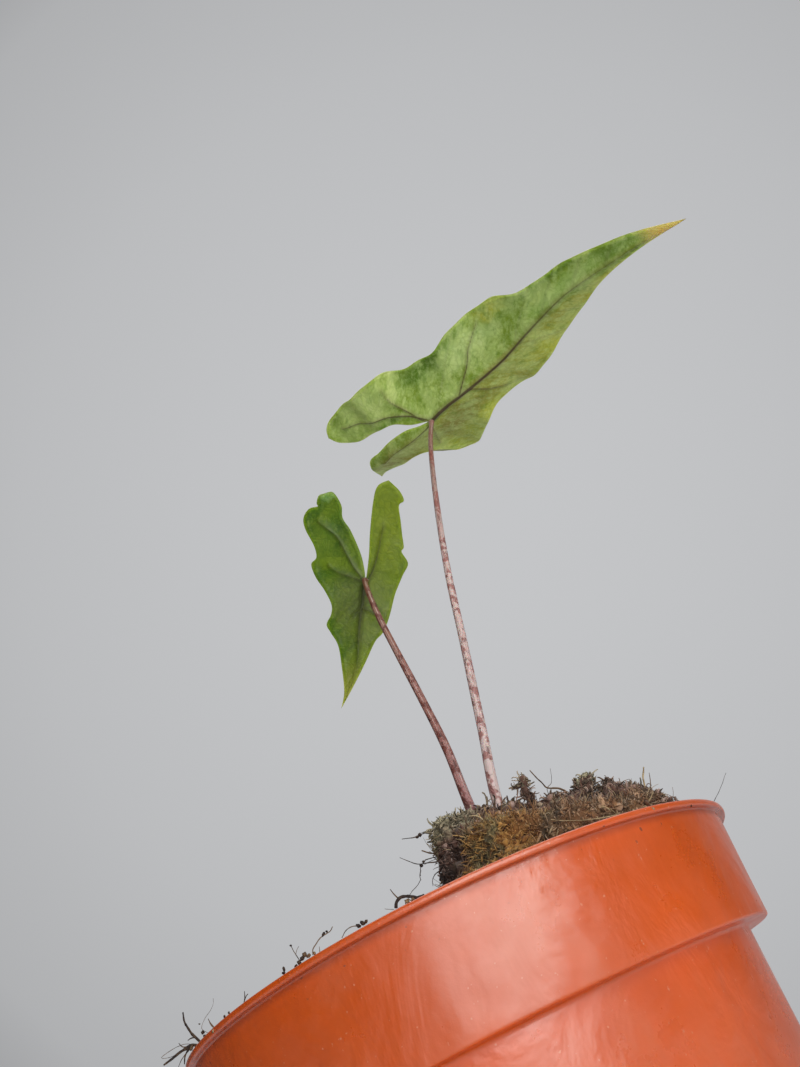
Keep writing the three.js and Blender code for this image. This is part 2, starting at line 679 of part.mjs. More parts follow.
const plant = new THREE.Group();
plant.add(piece('pot', pot(), COLOUR.pot, 0.35));
plant.add(piece('potting_mix', whole(mixOpened), COLOUR.mix, 0.95));
plant.add(piece('root_plug', whole(plugOpened), COLOUR.plug, 0.95));
plant.add(piece('corm_and_roots', cormAndRoots(0), COLOUR.corm, 0.8));
plant.add(piece('stalk_large', solid(stalk(largeRoute, 0)), COLOUR.stalkLarge, 0.5));
plant.add(piece('stalk_small', solid(stalk(smallRoute, 0)), COLOUR.stalkSmall, 0.5));
plant.add(piece('blade_large', solid(blade(largeLeaf)), COLOUR.bladeLarge, 0.45));
plant.add(piece('blade_small', solid(blade(smallLeaf)), COLOUR.bladeSmall, 0.45));

export default plant;
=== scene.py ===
"""Young variegated alocasia in an orange nursery pot, dressed for rendering around its CAD frame.

Lengths in the shape functions are millimetres, with +Z up and the origin under the middle of the pot.
A mesh is scaled to metres when it is made, so every piece's object stays at the origin.
"""

import bmesh
import bpy
import numpy as np
from bpy.props import FloatProperty, FloatVectorProperty, IntProperty, PointerProperty
from mathutils import Matrix


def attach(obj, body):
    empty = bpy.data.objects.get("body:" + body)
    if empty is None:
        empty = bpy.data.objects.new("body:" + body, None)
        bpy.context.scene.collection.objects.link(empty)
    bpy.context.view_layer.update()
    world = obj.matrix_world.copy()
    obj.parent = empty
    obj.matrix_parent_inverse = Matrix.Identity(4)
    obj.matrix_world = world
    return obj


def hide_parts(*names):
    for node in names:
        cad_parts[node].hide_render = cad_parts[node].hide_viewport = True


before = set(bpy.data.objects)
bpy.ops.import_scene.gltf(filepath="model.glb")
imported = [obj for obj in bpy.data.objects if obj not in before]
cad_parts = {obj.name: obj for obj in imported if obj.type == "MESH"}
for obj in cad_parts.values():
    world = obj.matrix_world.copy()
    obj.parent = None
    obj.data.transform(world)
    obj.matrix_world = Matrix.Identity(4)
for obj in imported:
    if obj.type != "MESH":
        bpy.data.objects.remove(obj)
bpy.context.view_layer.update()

bl_info = {
    "name": "Potted Alocasia",
    "version": (1, 0, 0),
    "blender": (4, 5, 0),
    "location": "3D View > Sidebar > Alocasia",
    "description": "Builds a young variegated alocasia in a nursery pot",
    "category": "Object",
}

MM = 0.001
BODY = "root"

# Pot, as in the part's source
POT_HEIGHT = 105.0
RIM_RADIUS = 60.0
BASE_RADIUS = 42.5
WALL = 1.2
FLOOR = 1.4
COLLAR_FOOT = POT_HEIGHT - 19.7
COLLAR_TOP_RADIUS = 58.5
COLLAR_FOOT_RADIUS = 56.2
BODY_TOP_RADIUS = 51.8
LIP_HEIGHT = 1.2
CHANNEL_RISE = 2.5
CHANNEL_INNER_RADIUS = 25.0
CHANNEL_OUTER_RADIUS = 38.5
DRAIN_COUNT = 8
DRAIN_RADIUS = 3.5

# Potting mix and root plug, as in the part's source
MIX_LEVEL = POT_HEIGHT - 7.0
MIX_HEAP = 13.0
MIX_LUMP = 1.3
HEAP_FRONT = (-36.0, -8.0)
HEAP_REACH = (20.0, 36.0)
HEAP_WALL_FADE = (45.0, 56.0)
PLUG_X = 22.5
PLUG_Y = -23.0
PLUG_FOOT = 62.0
PLUG_TOP = POT_HEIGHT + 16.5
PLUG_TOP_RADIUS = 22.5
PLUG_LUMP = 1.1
PLUG_LEVELS = np.array([
    (PLUG_FOOT, 0.0), (PLUG_FOOT, 15.0), (86.0, 16.0), (POT_HEIGHT - 8.0, PLUG_TOP_RADIUS - 1.4),
    (POT_HEIGHT, PLUG_TOP_RADIUS), (POT_HEIGHT + 5.0, PLUG_TOP_RADIUS + 0.2),
    (POT_HEIGHT + 10.0, PLUG_TOP_RADIUS - 0.3), (POT_HEIGHT + 14.5, PLUG_TOP_RADIUS - 2.0),
    *((PLUG_TOP, PLUG_TOP_RADIUS * share) for share in (0.8, 0.64, 0.48, 0.32, 0.16, 0.0)),
])
CROWN_LEAST = POT_HEIGHT + 3.0
CROWN_ACROSS = ((4.0, -13.0, 3.0), (2.5, 3.0, 11.0), (7.0, 13.0, 24.0))
CROWN_BACK = (7.0, -4.0, 18.0)
CROWN_FRONT = (7.0, 3.0, 21.0)

# Drills for the drain holes, and the hidden faces of the mix: its well round the plug, its wall and foot
DRILL_FOOT = -2.0
DRILL_TOP = 7.0
WELL_FOOT = PLUG_FOOT - 0.6
WELL_FOOT_RADIUS = 7.0
WELL_HEIGHTS = (62.0, 86.0, 97.0)
WELL_RADII = (15.4, 16.4, 21.4)
WELL_LIP_RADIUS = 21.0
MIX_RADIUS = 56.2
MIX_WALL = ((54.6, 86.9), (50.3, 86.8), (50.2, 86.4), (41.5, 4.4))
MIX_FOOT = ((24.0, 4.3), (22.2, 1.8))

CURVE_STEPS = 41
UPWARDS = (0.0, 0.0, 1.0)

# How far the loose parts of the soil reach from the pot's axis, and where the plug hides them
CRUMB_REACH = 55.0
CRUMB_LIMIT = 57.2
FLAKE_REACH = 56.6
SHOOT_REACH = 55.5
FIBRE_REACH = 53.0
FIBRE_LIMIT = 54.0
HIDDEN_RADIUS = 21.0

# Stalk routes from the corm to the blade, as in the part's source, with a last point inside the blade
LARGE_ROUTE = [
    (15.2, -28, 100.3), (15.5, -28, 120.4), (19.6, -27.5, 137), (24.6, -26.9, 156.4), (30.3, -26.4, 179.1),
    (38.3, -25.9, 205), (43.9, -25.4, 220.3), (46.3, -25.1, 225.3), (47.0, -25.03, 226.9),
]
SMALL_ROUTE = [
    (11, -28, 100.3), (10.3, -28, 121.8), (11, -28.2, 136.2), (10.6, -28.8, 149.6), (10, -29.7, 160.9),
    (9.6, -30.4, 170), (9.7, -30.5, 177), (9.9, -30.1, 180), (10.3, -28.35, 183.2), (10.5, -26.8, 183.9),
]
STALK_FOOT_RADIUS = 1.2
STALK_TIP_RADIUS = 0.62

# Leaf blades, as in the part's source: s runs along the midrib from the stalk, w across it
LARGE_LEAF = {
    "stalk": (47.4, -25, 227.7), "heading": -45.9, "dip": 18.7, "roll": -22, "length": 84, "arch": 7,
    "lobe_curl": 0.0105, "fold": 16, "right_lift": 10, "margin_split": 0.4,
    "wave": {"height": 1.5, "length": 24, "left": 0.6, "right": 2.4, "reach": 14},
    "left": {
        "margin": [(-30, -16.5), (-27, -19.5), (-18, -20.8), (-9, -21.5), (-2, -20), (3, -15.6), (8, -14.1),
                   (14, -13.2), (20, -13.8), (28, -12.7), (36, -12.3), (42, -9), (49, -7.8), (57, -7.4),
                   (66, -5.6), (75, -3.2), (84, 0)],
        "sinus": [(-30, -16.5), (-28, -12.4), (-23, -9.5), (-14, -8.6), (-9, -7.2), (-5, -3.2), (0, 0)],
    },
    "right": {
        "margin": [(-33, 8), (-27, 5.9), (-21, 7), (-15, 7), (-11, 10), (-9, 14), (-8, 19), (-4, 22.5),
                   (2, 19), (7, 15.9), (12, 13.6), (17, 13.5), (24, 15.2), (33, 13), (42, 10), (50, 6.8),
                   (59, 3), (70, 0.9), (84, 0)],
        "sinus": [(-33, 8), (-30, 3), (-26, -2.4), (-20, -3.3), (-14, -4), (-8, -3.3), (-3.5, -1.2), (0, 0)],
    },
    "midrib": [(0, 0), (5, 0.2), (10, 1.1), (15, 1.8), (21, 2.3), (27, 2.3), (33, 1.4), (40, 0.4), (45, -0.3),
               (51, -1), (63, -0.8), (73, -0.7), (84, 0)],
    "ribs": [
        [(10.8, 0.7), (14.6, -1.5), (18.4, -3.8), (21.5, -6.5), (25.7, -8.8), (27.6, -9.7)],
        [(14.1, 1.8), (16.6, 6.6), (19.7, 10.5)],
        [(-1.2, -0.4), (-2.6, -6.4), (-3.9, -12.3), (-3.5, -16.7)],
        [(-0.5, -1.1), (-3.7, -6.3), (-8.9, -10.7), (-16.3, -13.1), (-23.8, -15.5)],
        [(-1.0, 0.6), (-3.4, 0.7), (-8.6, 0.3), (-16.1, -0.4), (-22, 0.6)],
        [(-0.6, 0.6), (-1.4, 1.8), (-3.7, 5.4), (-6.9, 10.2)],
    ],
    "side_veins": {"starts": (3, 31, 42, 53, 63), "slant": 1.45, "reach": 16},
}
SMALL_LEAF = {
    "stalk": (10.6, -26, 184.2), "heading": 139.8, "dip": 51.9, "roll": 50, "length": 31, "arch": 1.5,
    "lobe_curl": -0.0067, "fold": 12, "right_lift": 0, "margin_split": 0.52,
    "wave": {"height": 0.7, "length": 15, "left": 1, "right": 3, "reach": 12},
    "left": {
        "margin": [(-24, -4.5), (-22, -7.2), (-19.8, -8.5), (-18.6, -7.3), (-15, -7.9), (-12, -8.4), (-9, -9),
                   (-7.9, -8.5), (-5.2, -10.3), (-2, -9), (2.4, -7.5), (8, -6.5), (12, -5.2), (14.5, -3.4),
                   (20, -1.4), (26, 1), (31, 3.2)],
        "sinus": [(-24, -4.5), (-22.5, -1.9), (-19, -0.9), (-12, -0.4), (-6, -0.4), (0, 0)],
    },
    "right": {
        "margin": [(-20.8, 11.8), (-20.2, 13.6), (-18.4, 14.1), (-17.6, 13.7), (-17.2, 16), (-15, 17.5),
                   (-12, 16.7), (-8, 14.2), (-5.4, 13.6), (-3.8, 15), (-0.5, 13.4), (2.8, 10.6), (6, 8.6),
                   (8.5, 8.5), (11, 9.5), (13, 8.2), (16, 5.9), (21, 4.4), (27, 3), (31, 3.2)],
        "sinus": [(-20.8, 11.8), (-20.9, 9.6), (-18, 7.4), (-15, 6.9), (-12, 4.6), (-7, 1.9), (-3.5, 0.7),
                  (0, 0)],
    },
    "midrib": [(0, 0), (2.3, 0.3), (5.9, 0.4), (9.8, 0.7), (15.6, 0.6), (19.5, 0.4), (24.6, 1.3), (31, 3.2)],
    "ribs": [
        [(-0.4, 0.7), (-3.4, 3.4), (-6.8, 5.7), (-10.2, 8), (-12.4, 11.1), (-13.9, 13.3)],
        [(-0.4, -0.6), (-2.5, -1.6), (-6.4, -2.6), (-10.6, -3.2), (-13.7, -3.8)],
        [(0, 1), (-0.8, 4.1), (-2.1, 8), (-3.6, 10.2)],
        [(6.4, 0.2), (8.5, 2.5)],
        [(6.6, -0.3), (7.7, -2.7)],
    ],
    "side_veins": {"starts": (2, 13, 20), "slant": 1.1, "reach": 9},
}


# Stage, in metres but for the floor's depth. Each light has its size, place, target, colour and roll
FLOOR_DEPTH = 8.0
LIGHTS = {
    "window": ((0.42, 0.32), (0.094, -0.446, 0.128), (0.0, 0.0, 0.11), (1.0, 0.985, 0.965), 36.0),
    "side": ((1.5, 1.5), (1.3, -0.5, 0.8), (0.0, 0.0, 0.12), (0.99, 0.99, 1.0), 0.0),
    "overhead": ((1.2, 1.2), (0.25, 0.1, 1.25), (0.0, 0.0, 0.15), (0.97, 0.985, 1.0), 0.0),
}

# Brightest direction of the surroundings, and how they darken away from it: the cosine of the angle from that
# direction, and the share of their brightness there, the two ends first
ROOM_BRIGHTEST = (0.2, 0.8, 0.56)
ROOM_FALL = ((0.54, 0.08), (1.0, 1.0), (0.75, 0.78), (0.86, 0.9))

# Camera: its place, its directions, and its focal length and picture height in the photo's pixels
CAMERA_PLACE = (0.0, -0.18488, 0.07651)
CAMERA_RIGHT = (0.91590794, 0.14051938, -0.37598796)
CAMERA_UP = (0.38321744, -0.58477838, 0.71496758)
CAMERA_FORWARD = (0.11940283, 0.79892963, 0.58945264)
CAMERA_FOCAL_PIXELS = 775.0
PICTURE_HEIGHT_PIXELS = 1067.0
SENSOR_MM = 36.0


def paint(red, green, blue):
    """Linear colour of a display colour from 0 to 255: the inverse of the usual display curve."""
    shown = np.array([red, green, blue], float) / 255.0
    linear = np.where(shown <= 0.04045, shown / 12.92, ((shown + 0.055) / 1.055) ** 2.4)
    return tuple(float(value) for value in linear)


class PotSettings(bpy.types.PropertyGroup):
    """Looks of the pot"""

    colour: FloatVectorProperty(
        name="Plastic", description="Colour of the pot's plastic", subtype="COLOR", size=3,
        min=0.0, max=1.0, default=paint(226, 91, 12))
    ripple: FloatProperty(
        name="Ripple", description="Height of the soft unevenness of the moulded wall",
        default=0.00013, min=0.0, max=0.0005, unit="LENGTH", subtype="DISTANCE")
    roughness: FloatProperty(
        name="Roughness", description="Roughness of the clean plastic", default=0.31, min=0.05, max=1.0,
        subtype="FACTOR")
    sides: IntProperty(
        name="Sides", description="Number of steps round the pot", default=288, min=48, max=512)


class SoilSettings(bpy.types.PropertyGroup):
    """Looks of the potting mix and the mossy plug"""

    mix_colour: FloatVectorProperty(
        name="Mix", description="Colour of the potting mix", subtype="COLOR", size=3,
        min=0.0, max=1.0, default=paint(142, 106, 90))
    gold_colour: FloatVectorProperty(
        name="Golden moss", description="Colour of the old moss at the front", subtype="COLOR", size=3,
        min=0.0, max=1.0, default=paint(216, 164, 90))
    lichen_colour: FloatVectorProperty(
        name="Pale moss", description="Colour of the pale grey-green moss", subtype="COLOR", size=3,
        min=0.0, max=1.0, default=paint(200, 190, 156))
    crumbs: IntProperty(
        name="Crumbs", description="Number of crumbs on the mix and the plug", default=5200, min=100,
        max=9000)
    flakes: IntProperty(
        name="Moss flakes", description="Number of moss flakes on the plug", default=15000, min=100,
        max=20000)
    threads: IntProperty(
        name="Threads", description="Number of peat threads, and of golden moss shoots", default=2600,
        min=100, max=3600)
    fibres: IntProperty(
        name="Fibres", description="Number of fine dry fibres", default=1300, min=50, max=3000)


class PlantSettings(bpy.types.PropertyGroup):
    """Looks of the leaves and stalks"""

    blade_thickness: FloatProperty(
        name="Blade thickness", description="Thickness of the leaf between its veins",
        default=0.00045, min=0.0002, max=0.0009, unit="LENGTH", subtype="DISTANCE")
    vein_height: FloatProperty(
        name="Vein height", description="How far the strong veins stand out below the leaf",
        default=0.00032, min=0.0, max=0.001, unit="LENGTH", subtype="DISTANCE")
    green: FloatVectorProperty(
        name="Green", description="Green of the leaf", subtype="COLOR", size=3, min=0.0, max=1.0,
        default=paint(94, 124, 34))
    mint: FloatVectorProperty(
        name="Pale variegation", description="Pale patches of the leaf", subtype="COLOR", size=3,
        min=0.0, max=1.0, default=paint(200, 212, 152))
    yellow: FloatVectorProperty(
        name="Yellow half", description="Yellow-olive half of the large leaf", subtype="COLOR", size=3,
        min=0.0, max=1.0, default=paint(188, 184, 80))


class StageSettings(bpy.types.PropertyGroup):
    """Floor, backdrop and lights"""

    floor_radius: FloatProperty(
        name="Floor radius", description="Radius of the round floor", default=0.8, min=0.4, max=10.0,
        unit="LENGTH", subtype="DISTANCE")
    backdrop: FloatVectorProperty(
        name="Backdrop", description="Light grey of the surroundings", subtype="COLOR", size=3,
        min=0.0, max=1.0, default=paint(196, 197, 199))
    window_power: FloatProperty(
        name="Window", description="Power of the soft light in front", default=1.5, min=0.0, max=100.0,
        unit="POWER")
    sky_power: FloatProperty(
        name="Overhead", description="Power of the soft light overhead", default=7.5, min=0.0, max=100.0,
        unit="POWER")
    side_power: FloatProperty(
        name="Right side", description="Power of the wide soft light at the right", default=1.2, min=0.0,
        max=100.0, unit="POWER")


def smooth(value, low, high):
    """Smooth step: 0 below low, 1 above high, and 3t^2 - 2t^3 between."""
    share = np.clip((value - low) / (high - low), 0.0, 1.0)
    return share * share * (3.0 - 2.0 * share)


def lattice(x, y, z, seed):
    """Repeatable number from 0 to 1 for each whole-numbered place, by mixing its bits."""
    mixed = (x * 374761393 + y * 668265263 + z * 1440662683 + seed * 1274126177) & 0xFFFFFFFF
    mixed = ((mixed ^ (mixed >> 13)) * 1103515245) & 0xFFFFFFFF
    mixed = ((mixed ^ (mixed >> 15)) * 668265263) & 0xFFFFFFFF
    return (mixed ^ (mixed >> 16)) / 4294967295.0


def noise(points, cell, seed):
    """Soft noise from -1 to 1: a lattice's numbers, blended by smooth steps between a cell's corners."""
    scaled = points / cell
    corner = np.floor(scaled).astype(np.int64)
    share = scaled - corner
    share = share * share * (3.0 - 2.0 * share)
    total = np.zeros(len(points))
    for index in range(8):
        step = np.array([index & 1, (index >> 1) & 1, (index >> 2) & 1])
        weight = np.where(step, share, 1.0 - share).prod(axis=1)
        place = corner + step
        total += weight * lattice(place[:, 0], place[:, 1], place[:, 2], seed)
    return 2.0 * total - 1.0


def rough(points, cell, octaves, seed):
    """Fractal noise: each octave has half the cell and half the height of the one before."""
    return sum(noise(points, cell / 2 ** octave, seed + octave) / 2 ** octave for octave in range(octaves))


def lumps(x, y, z, wavelength):
    """Soft lumps from -1 to 1: the part's three crossed waves of the given wavelength."""
    k = 2.0 * np.pi / wavelength
    first = np.sin(k * (x + 0.35 * y) + 1.3) * np.cos(k * (0.9 * y - 0.3 * x) + 0.4 * k * z)
    second = np.sin(k * 1.9 * (0.8 * x - 0.6 * y) + 2.1) * np.cos(k * 1.7 * (y + 0.5 * z) + 0.7)
    third = np.sin(k * 3.3 * (x + z) + 4.2) * np.sin(k * 2.9 * (y - x) + 1.9)
    return 0.55 * first + 0.3 * second + 0.15 * third


def unit(vectors):
    """Vectors divided by their lengths."""
    return vectors / np.maximum(np.linalg.norm(vectors, axis=-1, keepdims=True), 1e-9)


def full_turn(sides):
    """Even angles round a full turn."""
    return 2.0 * np.pi * np.arange(sides) / sides


def around(radius, turn, height):
    """Points at radii and angles round the upright axis, and at heights."""
    return np.stack(np.broadcast_arrays(radius * np.cos(turn), radius * np.sin(turn), height), axis=-1)


def grid_faces(rows, columns, wrap):
    """Quads between neighbours of a grid of rows and columns; wrap joins the last column to the first."""
    row = np.arange(rows - 1)[:, None]
    column = np.arange(columns if wrap else columns - 1)[None, :]
    beside = (column + 1) % columns
    corners = [row * columns + column, row * columns + beside,
               (row + 1) * columns + beside, (row + 1) * columns + column]
    return np.stack(np.broadcast_arrays(*corners), axis=-1).reshape(-1, 4)


def closed_rings(rings, start, end):
    """Skin over rings of points, rows by sides, with one point closing each end by a fan of triangles."""
    count, sides = rings.shape[:2]
    points = np.vstack([rings.reshape(-1, 3), start, end])
    side = np.arange(sides)
    beside = (side + 1) % sides
    last = (count - 1) * sides
    head = np.stack([np.full(sides, count * sides), beside, side], axis=-1)
    tail = np.stack([last + side, last + beside, np.full(sides, count * sides + 1)], axis=-1)
    return points, [grid_faces(count, sides, True), head, tail]


def copied_faces(face_sets, points, count):
    """Faces of copies of a shape, one after another: each copy's faces use its own points."""
    offsets = (np.arange(count) * points)[:, None, None]
    return [(faces[None] + offsets).reshape(-1, faces.shape[1]) for faces in face_sets]


def enclosed(points, face_sets):
    """Signed volume inside faces: the sum over triangles of a . (b x c) / 6."""
    total = 0.0
    for faces in face_sets:
        for third in range(2, faces.shape[1]):
            a, b, c = points[faces[:, 0]], points[faces[:, third - 1]], points[faces[:, third]]
            total += float((a * np.cross(b, c)).sum()) / 6.0
    return total


def make_mesh(name, points, face_sets, fields=None, weld=0.0):
    """Mesh of closed faces turned outwards, in metres, with named values on its points.
    A field with three columns is kept as a vector. Points nearer than weld, in mm, are merged."""
    if enclosed(points, face_sets) < 0.0:
        face_sets = [faces[:, ::-1] for faces in face_sets]
    corners = np.concatenate([faces.ravel() for faces in face_sets]).astype(np.int32)
    sizes = np.concatenate([np.full(len(faces), faces.shape[1]) for faces in face_sets])
    starts = np.concatenate([[0], np.cumsum(sizes)[:-1]]).astype(np.int32)
    mesh = bpy.data.meshes.new(name)
    mesh.vertices.add(len(points))
    mesh.vertices.foreach_set("co", (points * MM).astype(np.float32).ravel())
    mesh.loops.add(len(corners))
    mesh.loops.foreach_set("vertex_index", corners)
    mesh.polygons.add(len(sizes))
    mesh.polygons.foreach_set("loop_start", starts)
    mesh.polygons.foreach_set("use_smooth", np.ones(len(sizes), dtype=bool))
    for field, values in (fields or {}).items():
        values = np.asarray(values, np.float32)
        kind, key = ("FLOAT_VECTOR", "vector") if values.ndim == 2 else ("FLOAT", "value")
        mesh.attributes.new(field, kind, "POINT").data.foreach_set(key, values.ravel())
    mesh.update(calc_edges=True)
    if weld > 0.0:
        work = bmesh.new()
        work.from_mesh(mesh)
        bmesh.ops.remove_doubles(work, verts=work.verts, dist=weld * MM)
        work.to_mesh(mesh)
        work.free()
    mesh.validate()
    return mesh


def add_piece(name, mesh, material, slot, *replaced):
    """Object of a finished mesh that rides with the part and stands for the CAD nodes named."""
    piece = bpy.data.objects.new(name, mesh)
    bpy.context.scene.collection.objects.link(piece)
    mesh.materials.clear()
    mesh.materials.append(material)
    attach(piece, BODY)
    if replaced:
        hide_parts(*replaced)


def random_turns(random, count):
    """Turning matrices from random unit quaternions."""
    w, x, y, z = unit(random.normal(size=(count, 4))).T
    rows = [
        [1 - 2 * (y * y + z * z), 2 * (x * y - z * w), 2 * (x * z + y * w)],
        [2 * (x * y + z * w), 1 - 2 * (x * x + z * z), 2 * (y * z - x * w)],
        [2 * (x * z - y * w), 2 * (y * z + x * w), 1 - 2 * (x * x + y * y)],
    ]
    return np.moveaxis(np.array(rows), 2, 0)


def scatter(random, shape, centres, stretches, uneven):
    """Copies of a small closed shape: its points are shifted at random by the uneven share,
    stretched, turned at random and moved to the centres, all as one array."""
    points, faces = shape
    count = len(centres)
    shifts = 1.0 + uneven * random.uniform(-1.0, 1.0, (count, len(points), 1))
    local = points[None] * shifts * stretches[:, None, :]
    placed = np.einsum("nij,nkj->nki", random_turns(random, count), local) + centres[:, None]
    return placed.reshape(-1, 3), copied_faces([faces], len(points), count)[0]


def eight_sided():
    """Octahedron: a point at both ends of each axis."""
    points = np.array([(1, 0, 0), (-1, 0, 0), (0, 1, 0), (0, -1, 0), (0, 0, 1), (0, 0, -1)], float)
    faces = np.array([(0, 2, 4), (2, 1, 4), (1, 3, 4), (3, 0, 4), (2, 0, 5), (1, 2, 5), (3, 1, 5), (0, 3, 5)])
    return points, faces


def twenty_sided():
    """Icosahedron: two poles and two rings of five points, the upper ring turned by half a step."""
    turn = full_turn(5)
    height, radius = 1.0 / np.sqrt(5.0), 2.0 / np.sqrt(5.0)
    points = np.vstack([[UPWARDS], around(radius, turn, height), around(radius, turn + np.pi / 5, -height),
                        [(0, 0, -1)]])
    upper = 1 + np.arange(5)
    beside = 1 + (upper % 5)
    top, bottom = np.zeros(5, int), np.full(5, 11)
    corners = ((top, upper, beside), (upper, upper + 5, beside), (beside, upper + 5, beside + 5),
               (bottom, beside + 5, upper + 5))
    return points, np.vstack([np.stack(three, axis=-1) for three in corners])


def bent_fibres(roots, bends, tips, thick, thin, steps=7, sides=4):
    """Thin tubes along the curves (1-t)^2 root + 2t(1-t) bend + t^2 tip. Each section is a small circle
    across the curve whose radius goes from thick to thin, and a point closes each end."""
    share = np.linspace(0.0, 1.0, steps)[None, :, None]
    roots, bends, tips = roots[:, None], bends[:, None], tips[:, None]
    centre = (1 - share) ** 2 * roots + 2 * share * (1 - share) * bends + share ** 2 * tips
    tangent = unit(2 * (1 - share) * (bends - roots) + 2 * share * (tips - bends))
    plane = np.cross(bends - roots, tips - bends + 1e-3 * np.array([1.0, 0.7, -0.4]))
    first = unit(plane) * np.ones_like(tangent)
    second = np.cross(tangent, first)
    angle = full_turn(sides)[:, None]
    radius = (thick[:, None] + (thin - thick)[:, None] * share[:, :, 0])[..., None, None]
    across = first[:, :, None] * np.cos(angle) + second[:, :, None] * np.sin(angle)
    ring = centre[:, :, None] + radius * across
    count = len(centre)
    points = np.concatenate([ring.reshape(count, -1, 3), centre[:, :1], centre[:, -1:]], axis=1)
    one, one_faces = closed_rings(np.zeros((steps, sides, 3)), np.zeros(3), np.zeros(3))
    return points.reshape(-1, 3), copied_faces(one_faces, len(one), count)


def neighbours(padded, count):
    """Runs of neighbouring rows, each a row further on."""
    last = len(padded) - count + 1
    return [padded[first:last + first] for first in range(count)]


def cubic(b, c, start, stop):
    """Dense places along the cubics from each b to its c, which leave and arrive with the slopes given."""
    share = np.linspace(0.0, 1.0, CURVE_STEPS)[None, :, None]
    dense = ((2 * b - 2 * c + start + stop) * share ** 3
             + (-3 * b + 3 * c - 2 * start - stop) * share ** 2 + start * share + b)
    return dense.reshape(-1, b.shape[-1])


def at_shares(dense, shares):
    """Points at shares of the length of a line of dense points."""
    run = np.concatenate([[0.0], np.cumsum(np.linalg.norm(np.diff(dense, axis=0), axis=1))])
    wanted = np.asarray(shares) * run[-1]
    return np.stack([np.interp(wanted, run, column) for column in dense.T], axis=-1)


def along_path(places, count):
    """Evenly spaced points of a Catmull-Rom curve through the places. Its spans are timed by the square
    root of their lengths, as in the part, and the curve is carried straight on past its ends."""
    fixed = np.asarray(places, float)
    padded = np.vstack([2 * fixed[0] - fixed[1], fixed, 2 * fixed[-1] - fixed[-2]])
    span = np.sqrt(np.linalg.norm(np.diff(padded, axis=0), axis=1))[:, None, None]
    a, b, c, d = neighbours(padded[:, None], 4)
    before, during, after = neighbours(span, 3)
    start = ((b - a) / before - (c - a) / (before + during) + (c - b) / during) * during
    stop = ((c - b) / during - (d - b) / (during + after) + (d - c) / after) * during
    return at_shares(cubic(b, c, start, stop), np.linspace(0.0, 1.0, count))


def along_outline(places, shares):
    """Points at shares of the length of an even Catmull-Rom curve: each span is the cubic that meets its
    two places with slopes of half the step between their neighbours."""
    fixed = np.asarray(places, float)
    a, b, c, d = neighbours(np.vstack([fixed[:1], fixed, fixed[-1:]])[:, None], 4)
    return at_shares(cubic(b, c, (c - a) / 2, (d - b) / 2), shares)


def tube_rings(path, radius, turn, guide):
    """Rings of points round a path: circles of the given radii across it, drawn from the direction that
    is square to both the path and a guide."""
    tangent = unit(np.gradient(path, axis=0))
    first = unit(np.cross(tangent, np.array(guide)))
    second = np.cross(tangent, first)
    across = first[:, None] * np.cos(turn)[..., None] + second[:, None] * np.sin(turn)[..., None]
    return path[:, None] + radius[..., None] * across


